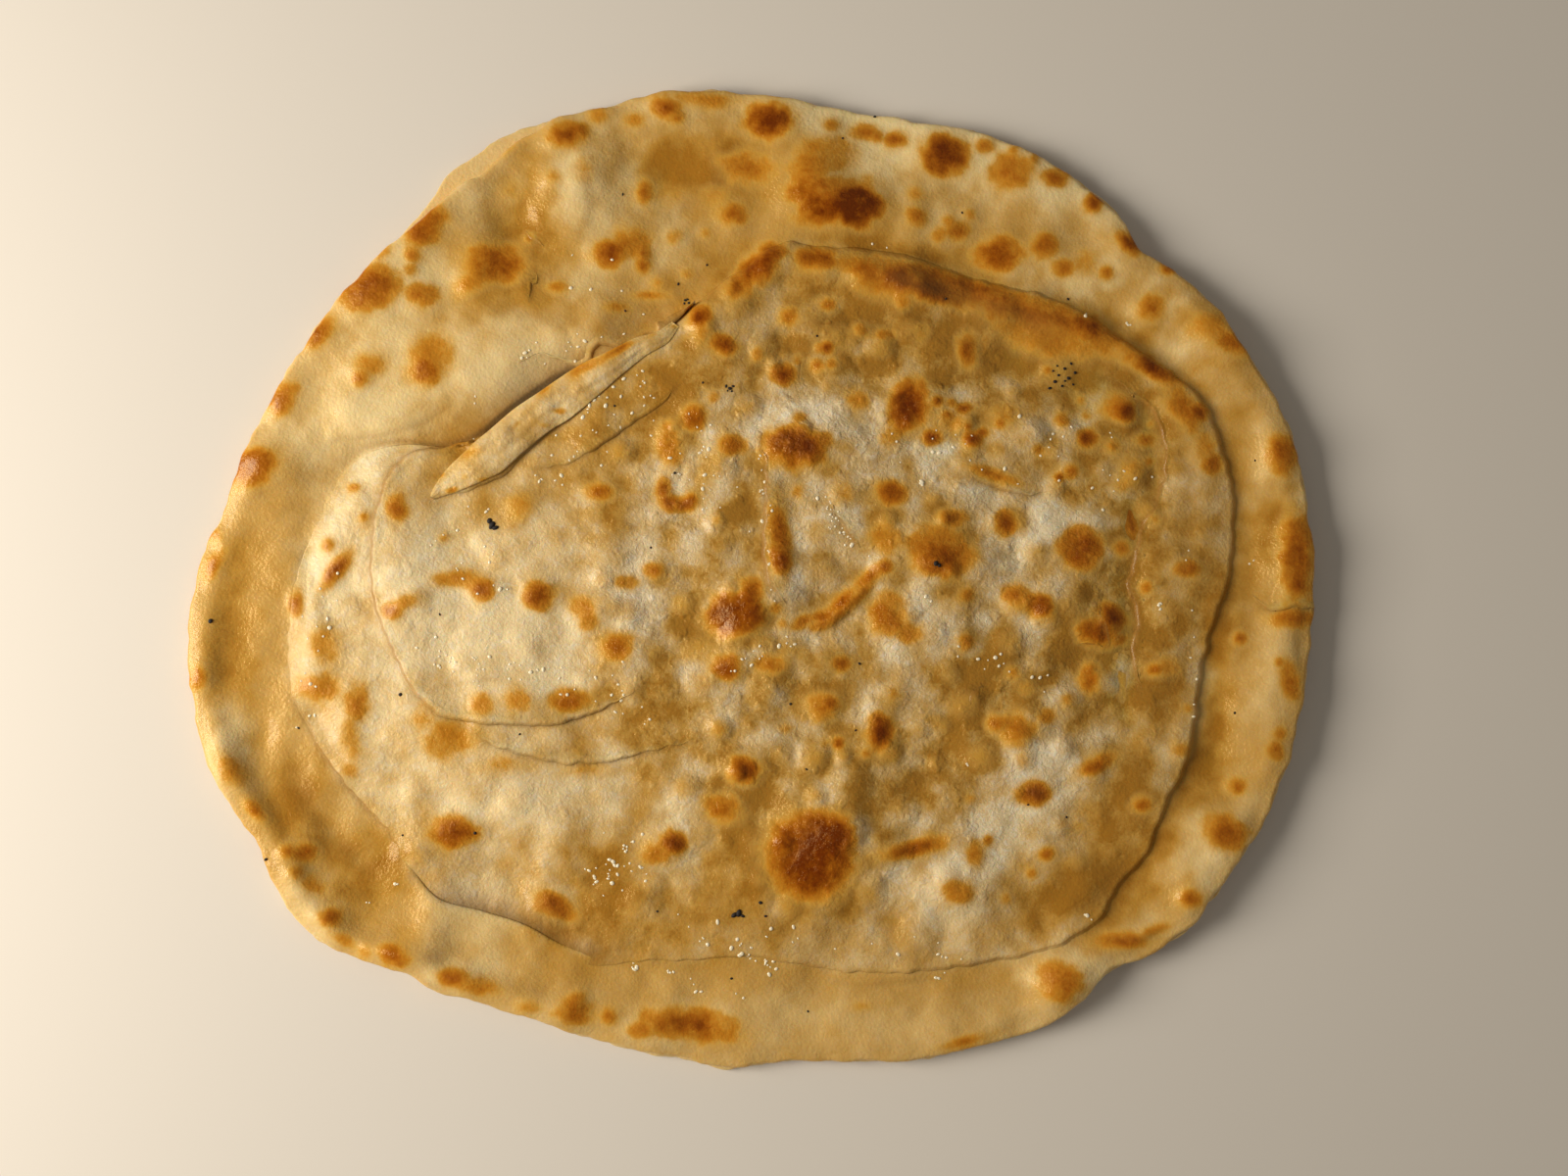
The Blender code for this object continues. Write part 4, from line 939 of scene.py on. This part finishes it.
def makeFlap(material):
    # a thin strip drawn between its two long edges. Across it the section rolls up out of the
    # slit, crests, thins to the foot and comes back underneath: a loop of shares and heights
    look = flapLook
    along = np.linspace(0, 1, look["stations"])
    edge, foot = (np.stack([evenly(values, along) for values in smoothPath(look[side]).T], -1)
                  for side in ("edge", "foot"))
    rise = evenly(look["rise"], along)[:, None]
    overShare, underShare = np.linspace(0.02, 1, look["over"]), np.linspace(0.97, 0.05, look["under"])
    across = np.concatenate([overShare, underShare, [-0.03, -0.08, -0.07, -0.03]])
    crest = 0.45 * np.sin(np.linspace(0.3, np.pi, look["over"])) ** 1.2
    thinning = 0.3 * np.linspace(0, 1, look["over"]) ** 1.5
    lift = np.concatenate([0.55 + crest - thinning, np.full(look["under"], -0.45),
                           [-0.6, -0.25, 0.15, 0.5]])
    x, y = (edge[:, None, i] + (foot - edge)[:, None, i] * across[None] for i in (0, 1))
    fields = surface(x, y)
    base = pressed(coilTop(x, y) + fields.pop("relief"))
    # long flakes run the strip's length, drifting a little across it
    drift = evenly(look["flakeDrift"], along)[:, None]
    flakes = 0.05 * np.sin(2 * np.pi * (3.2 * across[None] + drift)) + 0.03 * waves(x, y, 5, 82)
    # from the middle to the tip its foot stands clear too
    footLift = np.clip(across, 0, 1) ** 1.5 * (lift > 0)
    lift = lift + 0.45 * smooth(0.3, 0.7, along)[:, None] * footLift[None]
    height = base + rise * lift + flakes * (lift > 0) * rise
    # pale and blistered, with an upper edge browned most near the ridge and again by the tip
    browned = (0.5 * bell(along - 0.27, 0.16) + 0.3 * bell(along - 0.85, 0.1))[:, None]
    browned = browned + 0.15 * waves(x, y, 7, 83)
    browned = browned * bell(across - 0.1, 0.25)[None]
    fields["toast"] = np.maximum(browned, 0.3 * waves(x, y, 3.5, 84) - 0.12)
    fields["butter"] = 0.34 + 0.15 * waves(x, y, 8, 85) + 0.1 * across[None] * (across > 0)
    # its underside is painted with shade
    fields["line"] = 0.7 * (lift < 0)
    faces = ringQuads(look["stations"], len(across)).tolist()
    faces += endFaces(0, look["stations"], len(across))
    return makePiece("slitFlap", (x, y, height), faces, material, fields)


lipLook = {
    # a lap's rounded edge, across it: distance past the lap's line, share of the way down
    # from the upper ply to the lower one, and what is added to that
    "section": ((-1.9, 0, -0.14), (-1.2, 0, 0.0), (-0.7, 0, 0.04), (-0.25, 0.02, 0.07), (0.1, 0.12, 0.06),
                (0.4, 0.38, 0.04), (0.65, 0.7, 0), (0.8, 1.05, -0.04), (-0.2, 1.15, -0.25),
                (-1.6, 1.2, -0.35)),
    "wander": 0.2,
    "step": 0.5,
}


def makeLips(material):
    # the thin edges of the laps: each a section carried along the lap's path, shrinking to
    # nothing at its ends, all in one mesh. Its inner part follows the skin it grows out of
    look = lipLook
    section = np.array(look["section"])
    own = section[:, 0] < -0.5
    places, faces, fields = [], [], {}
    start = 0
    for number, lap in enumerate(laps.values()):
        if lap.get("soft"):
            continue
        path = smoothPath(lap["points"], look["step"])
        along = np.linspace(0, 1, len(path))
        rise = evenly(lap["rise"], along)
        heading = np.gradient(path, axis=0)
        heading /= np.hypot(*heading.T)[:, None]
        low = np.stack([heading[:, 1], -heading[:, 0]], -1) * np.sign(rise.sum())
        wander = waves(along * len(path) * look["step"], along * 0, 4, 90 + number)
        path = path + low * look["wander"] * wander[:, None]
        size = (smooth(0, 0.15, along) * smooth(1, 0.85, along) * np.clip(abs(rise) * 2.2, 0, 1))[:, None]
        offset = section[:, 0] * size
        x, y = (path[:, None, i] + low[:, None, i] * offset for i in (0, 1))
        skin = surface(x, y)
        skin.pop("relief")
        upper, lower = (skinHeight(*(path - low * reach).T)[:, None] for reach in (0.7, -1.0))
        height = upper + (lower - upper) * section[:, 1]
        height[:, own] = np.where(section[own, 1] > 0, height[:, own], skinHeight(x[:, own], y[:, own]))
        # an edge that faces left is lit, so it is thinner and its shade sets in sooner
        towardsLight = np.clip(-low[:, :1], 0, 1)
        height = height + section[:, 2] * size * (1 - 0.8 * towardsLight) - 0.06 * (1 - size)
        places.append(np.stack([x, y, height]).reshape(3, -1))
        faces += (ringQuads(len(path), len(section)) + start).tolist()
        faces += endFaces(start, len(path), len(section))
        shaded = smooth(0.0, 0.3 - 0.2 * towardsLight, section[:, 1])
        skin["line"] = (0.4 + 0.3 * towardsLight) * shaded
        for key, values in skin.items():
            fields.setdefault(key, []).append(values.ravel())
        start += x.size
    fields = {key: np.concatenate(values) for key, values in fields.items()}
    return makePiece("lapLips", np.concatenate(places, 1), faces, material, fields)


def skinHeight(x, y):
    # the height of the bread's top at a place, coil or outer round
    radius, degrees = polar(x, y)
    ground = np.where(radius < coilAt(degrees) - 0.4, coilTop(x, y), outerTop(x, y))
    return pressed(ground + surface(x, y)["relief"])


def makeDrops(name, material, drops, flatness, seed):
    # small rounded lumps on the skin, one for each row (x, y, radius): spheres of a few rings
    # squashed to flatness times their width, each pulled out of round along its own line
    sides, rings = 10, 5
    drops = np.array(drops)
    draw = np.random.default_rng(seed)
    turn, stretch = draw.uniform(0, np.pi, len(drops)), draw.uniform(0.75, 1.3, len(drops))
    polarAngles = np.linspace(0, np.pi, rings + 2)[1:-1]
    around = np.linspace(0, 2 * np.pi, sides, endpoint=False)
    ringX = np.outer(np.sin(polarAngles), np.cos(around)).ravel()
    ringY = np.outer(np.sin(polarAngles), np.sin(around)).ravel()
    ringZ = np.repeat(np.cos(polarAngles), sides)
    unit = np.stack([np.r_[0, ringX, 0], np.r_[0, ringY, 0], np.r_[1, ringZ, -1]])
    x, y, radius = (column[:, None] for column in drops.T)
    along, across = unit[0] * radius * stretch[:, None], unit[1] * radius / stretch[:, None]
    c, s = np.cos(turn)[:, None], np.sin(turn)[:, None]
    ground = skinHeight(drops[:, 0], drops[:, 1])[:, None]
    place = (x + along * c - across * s, y + along * s + across * c,
             ground + (unit[2] + 0.25) * radius * flatness)
    # a drop's first corner is its top and its last one its bottom
    bottom = rings * sides + 1
    pairs = [(i, (i + 1) % sides) for i in range(sides)]
    drop = [(0, 1 + i, 1 + j) for i, j in pairs]
    drop += [(bottom, bottom - sides + j, bottom - sides + i) for i, j in pairs]
    drop += [(k + i, k + sides + i, k + sides + j, k + j)
             for k in range(1, bottom - sides, sides) for i, j in pairs]
    faces = [[n * (bottom + 1) + corner for corner in face] for n in range(len(drops)) for face in drop]
    return makePiece(name, place, faces, material)


# burnt flour stuck to the skin: (x, y, radius)
charFlecks = (
    (-56.2, 11.8, 0.6), (-55.6, 11, 0.7), (-54.9, 10.3, 0.6), (-55.9, 10.4, 0.45), (-3.6, -72.2, 0.6),
    (-2.6, -71.8, 0.7), (-1.8, -72.4, 0.4), (2, -69.5, 0.4), (3.1, -72.4, 0.3), (39.3, 2.5, 0.55),
    (40, 2.1, 0.4), (64.2, 40.4, 0.35), (65.3, 41.8, 0.4), (66.1, 43.2, 0.3), (66.9, 40.9, 0.3),
    (67.4, 44.6, 0.35), (68.3, 42.6, 0.4), (68.8, 45.7, 0.3), (69.7, 43.8, 0.35), (65.8, 45.2, 0.25),
    (64.9, 44.1, 0.25), (69.3, 41.3, 0.25), (67.5, 42, 0.25), (-5.4, 40.6, 0.3), (-4.6, 40.1, 0.4),
    (-3.9, 40.6, 0.3), (-4.2, 39.5, 0.25), (-5.1, 39.6, 0.2), (-14.4, 59.8, 0.3), (-13.6, 59.2, 0.3),
    (-13.9, 60, 0.25), (-14.6, 59.1, 0.25), (-15.9, 63.3, 0.3), (-9.7, 67.5, 0.25), (-27.3, 57.3, 0.25),
    (26.7, 99.8, 0.3), (19.7, 94.8, 0.25), (-28, 82.9, 0.25), (45.6, 78.8, 0.25), (68.4, 59.9, 0.3),
    (41.8, 59.5, 0.25), (-29.4, 36.5, 0.25), (-16.4, 22, 0.3), (14.1, 51.5, 0.25), (-10.4, 41.4, 0.25),
    (-21.5, 6, 0.25), (-115.8, -9.7, 0.5), (-74.9, -25.4, 0.4), (-97, -32.6, 0.25), (-66.4, -8.3, 0.25),
    (-49.3, -33.8, 0.25), (8.4, -27.4, 0.3), (11.8, -41.2, 0.25), (22.3, -33, 0.25), (23.1, -18.8, 0.3),
    (103.2, -29.3, 0.3), (67.2, -51.5, 0.25), (59, -48.8, 0.25), (108, 24.7, 0.25), (-103, -60.3, 0.35),
    (-74.4, -55.4, 0.25), (-58.9, -54.9, 0.35), (-20, -71.5, 0.25), (-4.2, -85.9, 0.3),
    (12.1, -92.9, 0.25),
)

# where melted butter beads up, each bead painted near-white as a highlight: along a line from
# (x, y) to (x, y), how many, the line's width
butterRuns = (
    (-43.3, 40.2, -35.6, 45.4, 6, 0.3), (-60.5, 28, -58, 30.5, 4, 1.0), (-60.5, 37, -59, 38.5, 2, 0.6),
    (0, -80.5, 6, -84, 14, 2.0), (-3.5, -77.5, 0, -80.5, 9, 1.6), (-12, -76, -9, -78.5, 5, 1.0),
    (-27, -81.5, -23.5, -84.5, 6, 1.2), (-17.5, -84.5, -15.5, -86.5, 5, 1.0),
    (-13, -86, -11, -88, 4, 1.0), (-3, -89, -1, -90, 4, 0.8), (-34, -62, -32, -68, 9, 1.0),
    (-24, -55, -28, -60, 9, 1.4), (-30, -59, -30, -66, 9, 1.2), (-69, -17, -48, -22, 26, 3.5),
    (-58, 13, -56, 15, 3, 0.8), (-77, -65, -75, -66, 2, 0.5), (-83, -69, -81, -70, 2, 0.5),
    (36, -86, 45, -83, 5, 1.5), (39, -80, 42, -81, 3, 1.0), (71, -72, 73, -73, 3, 0.8),
    (87, -7, 89, -4, 4, 1.0), (107, 2, 108, 4, 2, 0.6), (46, -40, 48, -41, 3, 0.6),
    (37.5, -4, 38.5, -6, 3, 0.6), (35, 20, 37, 20, 3, 0.6), (80, 53, 82, 55, 3, 0.6),
    (-45, 22, -20, 38, 30, 6.0), (-38, 34, -22, 44, 22, 3.0), (-18, 28, 0, 12, 20, 6.0),
    (-52, 46, -30, 52, 16, 3.0), (14, 16, 24, 4, 16, 2.5), (-5, -20, 12, -14, 14, 3.0),
    (45, -16, 62, -22, 14, 3.0), (-30, -56, -22, -68, 12, 4.0), (-20, -74, 40, -80, 14, 4.0),
    (60, 30, 84, 20, 20, 8.0), (-50, -16, -20, -30, 24, 5.0), (-70, 10, -48, -4, 18, 6.0),
    (2, 28, 4, -6, 26, 1.2), (16, 17, 22, 5, 18, 1.2), (-12, 32, -6, 20, 10, 3.0),
    (30, 30, 60, 20, 16, 8.0), (24, 73, 30, 71, 2, 0.6), (66, 59, 72, 56, 3, 0.6),
    (-90, 0, -96, -30, 18, 4.0), (94, 8, 95, -30, 8, 2.0), (-50, 66, -20, 60, 6, 6.0),
)


def butterGlintBeads():
    # the beads along the runs above, scattered across them; most are tiny
    draw = np.random.default_rng(7)
    beads = []
    for x0, y0, x1, y1, count, width in butterRuns:
        share = draw.uniform(size=count)
        push = draw.normal(size=(2, count)) * width / 2
        size = 0.2 + 0.3 * draw.uniform(size=count) ** 3
        x, y = x0 + (x1 - x0) * share + push[0], y0 + (y1 - y0) * share + push[1]
        beads += list(zip(x, y, size))
    return beads


def linear(hexColour):
    # an sRGB hex colour as the linear values that a shader takes
    srgb = np.array([int(hexColour[i:i + 2], 16) / 255 for i in (1, 3, 5)])
    value = np.where(srgb <= 0.04045, srgb / 12.92, ((srgb + 0.055) / 1.055) ** 2.4)
    return (*value.tolist(), 1)


def newMaterial(name):
    material = bpy.data.materials.new(name)
    material.use_nodes = True
    material.node_tree.nodes.clear()
    return material


def node(material, kind, inputs, out=0, **settings):
    # adds a node and returns its output: inputs, by name or number, are values or outputs of
    # other nodes; settings are the node's own, and stops are those of a colour ramp
    made = material.node_tree.nodes.new("ShaderNode" + kind)
    stops = settings.pop("stops", ())
    for key, value in settings.items():
        setattr(made, key, value)
    for index, (position, colour) in enumerate(stops):
        elements = made.color_ramp.elements
        element = elements[index] if index < 2 else elements.new(position)
        element.position = position
        element.color = linear(colour) if isinstance(colour, str) else (colour, colour, colour, 1)
    for key, value in inputs.items():
        if isinstance(value, bpy.types.NodeSocket):
            material.node_tree.links.new(value, made.inputs[key])
        else:
            made.inputs[key].default_value = value
    return made.outputs[out] if made.outputs else None


doughLook = {
    # from dry and floury to soaked in butter, then from unbrowned to charred
    "butter": ((0.0, "#f7e3ba"), (0.25, "#e9ce9b"), (0.5, "#d5b06e"), (0.72, "#c79a4a"), (0.95, "#ad7b2b")),
    "toast": ((0, "#e4ba6a"), (0.2, "#dfab4a"), (0.4, "#d08c26"), (0.6, "#b56a10"), (0.8, "#954c04"),
              (1, "#732f00")),
    # painted shade for creases, the feet of laps, the slit and under the lip: brown to nearly black
    "crease": ((0.6, "#96682c"), (1.0, "#3d2008")),
    "flour": "#f5ead0",
    "calmTint": "#fff2c4",
    "shine": "#ffdf9e",
    # the noises: how wide each is in millimetres, and its detail, roughness and distortion
    "noises": {"cloud": (14.0, 4.0, 0.6, 0.0), "blotch": (4.0, 4.0, 0.65, 0.0),
               "speck": (1.6, 4.0, 0.75, 0.6), "grain": (0.7, 2.0, 0.5, 0.0),
               "blister": (3.0, 2.0, 0.4, 0.0)},
    # how much of each breaks up the butter, and the browning
    "inButter": {"cloud": 0.7, "blotch": 0.75, "speck": 0.85},
    "inToast": {"blotch": 1.1, "speck": 0.7},
    # how high the fine relief stands, in millimetres
    "blisterHeight": 0.35, "pitHeight": 0.45, "grainHeight": 0.17,
    "scatter": (2.4 * mm, 1.0 * mm, 0.4 * mm),  # how far red, green and blue light spread inside
}


def griddledDough():
    # rolled wheat dough fried on a griddle: floury skin that scatters light, full of fine pits
    # and blisters, under a thin film of butter that gives it small bright glints
    m = newMaterial("griddled dough")
    look = doughLook
    place = node(m, "TexCoord", {}, "Object")
    toast, butter, line, lively = (node(m, "Attribute", {}, "Fac", attribute_name=name)
                                   for name in ("toast", "butter", "line", "lively"))
    noise = {}
    for name, (wide, detail, roughness, distortion) in look["noises"].items():
        noise[name] = node(m, "TexNoise", {"Vector": place, "Scale": 1 / (wide * mm), "Detail": detail,
                                           "Roughness": roughness, "Distortion": distortion})
    # a noise is 0.5 on average, so half the shares are taken off first: the sum strays to both
    # sides of the butter field, most where the skin is lively
    soaked = -sum(look["inButter"].values()) / 2
    for name, share in look["inButter"].items():
        soaked = node(m, "Math", {0: noise[name], 1: share, 2: soaked}, operation="MULTIPLY_ADD")
    mottled = node(m, "Math", {0: lively, 1: 0.8, 2: 0.2}, operation="MULTIPLY_ADD")
    soaked = node(m, "Math", {0: soaked, 1: mottled, 2: butter}, operation="MULTIPLY_ADD")
    # the browning is multiplied by a noise that is 1 on average
    patchy = 1 - sum(look["inToast"].values()) / 2
    for name, share in look["inToast"].items():
        patchy = node(m, "Math", {0: noise[name], 1: share, 2: patchy}, operation="MULTIPLY_ADD")
    browned = node(m, "Math", {0: toast, 1: patchy}, operation="MULTIPLY")
    dough = node(m, "ValToRGB", {"Fac": soaked}, stops=look["butter"])
    # the calm dough of the outer round is the yellower
    calm = node(m, "Math", {0: lively, 1: -0.9, 2: 0.85}, operation="MULTIPLY_ADD")
    dough = node(m, "Mix", {0: calm, 6: dough, 7: linear(look["calmTint"])}, 2, data_type="RGBA",
                 blend_type="MULTIPLY")
    crust = node(m, "ValToRGB", {"Fac": browned}, stops=look["toast"])
    crustShare = node(m, "ValToRGB", {"Fac": browned}, stops=((0.04, 0.0), (0.3, 1.0)))
    colour = node(m, "Mix", {0: crustShare, 6: dough, 7: crust}, 2, data_type="RGBA")
    # flecks of dry flour on the lively skin, where it is neither buttery nor browned
    floury = node(m, "ValToRGB", {"Fac": soaked}, stops=((0.15, 0.9), (0.8, 0.0)))
    fleck = node(m, "ValToRGB", {"Fac": noise["speck"]}, stops=((0.51, 0.0), (0.6, 1.0)))
    bare = node(m, "Math", {0: 1.0, 1: crustShare}, operation="SUBTRACT")
    for share in (fleck, lively, bare):
        floury = node(m, "Math", {0: floury, 1: share}, operation="MULTIPLY")
    colour = node(m, "Mix", {0: floury, 6: colour, 7: linear(look["flour"])}, 2, data_type="RGBA")
    # creases, the feet of laps and the slit are painted with shade, brown to nearly black
    crease = node(m, "ValToRGB", {"Fac": line}, stops=look["crease"])
    lineShare = node(m, "ValToRGB", {"Fac": line}, stops=((0.0, 0.0), (0.9, 0.85)))
    colour = node(m, "Mix", {0: lineShare, 6: colour, 7: crease}, 2, data_type="RGBA")
    # buttery skin is the glossier, toast a little more so, and a crease is dull
    rough = node(m, "ValToRGB", {"Fac": soaked}, stops=((0.2, 0.4), (0.75, 0.2)))
    rough = node(m, "Math", {0: toast, 1: -0.08, 2: rough}, operation="MULTIPLY_ADD")
    rough = node(m, "Math", {0: line, 1: 0.4, 2: rough}, operation="MULTIPLY_ADD")
    # sparse small blisters, each glinting on the side towards the light, then pits, which show
    # most where it is dry, then a fine grain all over
    blister = node(m, "ValToRGB", {"Fac": noise["blister"]}, stops=((0.58, 0.0), (0.9, 1.0)))
    dryness = node(m, "ValToRGB", {"Fac": soaked}, stops=((0.2, 1.0), (0.9, 0.4)))
    dryness = node(m, "Math", {0: dryness, 1: lively}, operation="MULTIPLY")
    below = {}
    for height, strength, tall in ((blister, lively, look["blisterHeight"]),
                                   (noise["speck"], dryness, look["pitHeight"]),
                                   (noise["grain"], 0.8, look["grainHeight"])):
        normal = node(m, "Bump", {"Height": height, "Strength": strength, "Distance": tall * mm,
                                  **below})
        below = {"Normal": normal}
    shader = node(m, "BsdfPrincipled", {
        "Base Color": colour, "Roughness": rough, "IOR": 1.42, "Specular Tint": linear(look["shine"]),
        "Normal": normal, "Coat Weight": 0.15, "Coat Roughness": 0.1, "Subsurface Weight": 0.2,
        "Subsurface Radius": look["scatter"], "Subsurface Scale": 1.0})
    node(m, "OutputMaterial", {"Surface": shader})
    return m


def butterWithPaintedGlints():
    # butter, so smooth that each bead catches one bright glint; its colour is near-white, a painted
    # highlight, so that the beads read as bright dots
    m = newMaterial("butter painted bright")
    shader = node(m, "BsdfPrincipled", {"Base Color": linear("#fff2cf"), "Roughness": 0.1, "IOR": 1.6})
    node(m, "OutputMaterial", {"Surface": shader})
    return m


def burntFlour():
    # flour dust burnt on the griddle: matt and nearly black
    m = newMaterial("burnt flour")
    shader = node(m, "BsdfPrincipled", {"Base Color": linear("#1d130c"), "Roughness": 0.7})
    node(m, "OutputMaterial", {"Surface": shader})
    return m


def plainFloor():
    # matt painted board, so that only the bread draws the eye
    m = newMaterial("floor")
    shader = node(m, "BsdfPrincipled", {"Base Color": linear("#e9e2d6"), "Roughness": 0.9})
    node(m, "OutputMaterial", {"Surface": shader})
    return m


dough = griddledDough()
makeCoil(dough)
outerRound = makeOuterRound(dough)
makeUnderPly(dough)
makeFlap(dough)
makeLips(dough)
makeDrops("butterGlintBeads", butterWithPaintedGlints(), butterGlintBeads(), flatness=0.35, seed=8)
makeDrops("charFlecks", burntFlour(), charFlecks, flatness=0.5, seed=9)
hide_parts("paratha")

setting = {
    "floorSize": 3.0,  # metres
    # what the camera looks at and from how far, in millimetres, and how high it stands
    "aim": (7, -2.6, 4), "distance": 327, "elevation": 88.0, "lens": 35.0,
    "sky": (1.0, 0.925, 0.825, 1), "skyStrength": 0.14,
}
# where each light hangs in millimetres, its width in metres, its watts and its linear colour
lights = {
    "window": dict(place=(-525, -20, 330), size=0.34, power=4.4, colour=(1.0, 0.925, 0.825)),
    "fill": dict(place=(400, 200, 700), size=1.2, power=0.35, colour=(1.0, 0.93, 0.84)),
}


def addFloor():
    half = setting["floorSize"] / 2
    mesh = bpy.data.meshes.new("floor")
    corners = [(-half, -half, 0), (half, -half, 0), (half, half, 0), (-half, half, 0)]
    mesh.from_pydata(corners, [], [(0, 1, 2, 3)])
    mesh.materials.append(plainFloor())
    floor = bpy.data.objects.new("floor", mesh)
    bpy.context.scene.collection.objects.link(floor)


def addLight(name, place, size, power, colour):
    # a square lamp that faces the bread
    light = bpy.data.lights.new(name, "AREA")
    light.size, light.energy, light.color = size, power, colour
    lamp = bpy.data.objects.new(name, light)
    lamp.location = np.array(place) * mm
    lamp.rotation_euler = (-lamp.location).to_track_quat("-Z", "Y").to_euler()
    bpy.context.scene.collection.objects.link(lamp)


def addCamera():
    # nearly straight above, leaning back towards the near side
    camera = bpy.data.objects.new("camera", bpy.data.cameras.new("camera"))
    camera.data.lens = setting["lens"]
    tilt = np.radians(90 - setting["elevation"])
    away = np.array((0, -np.sin(tilt), np.cos(tilt))) * setting["distance"]
    camera.location = (np.array(setting["aim"]) + away) * mm
    camera.rotation_euler = (tilt, 0, 0)
    bpy.context.scene.collection.objects.link(camera)
    bpy.context.scene.camera = camera


def addSky():
    world = bpy.data.worlds.new("studio")
    bpy.context.scene.world = world
    world.use_nodes = True
    background = world.node_tree.nodes["Background"]
    background.inputs["Color"].default_value = setting["sky"]
    background.inputs["Strength"].default_value = setting["skyStrength"]


addFloor()
for name, light in lights.items():
    addLight(name, **light)
addSky()
addCamera()
bpy.context.scene.view_settings.view_transform = "Standard"
print("floor, lights, sky and camera are in place")
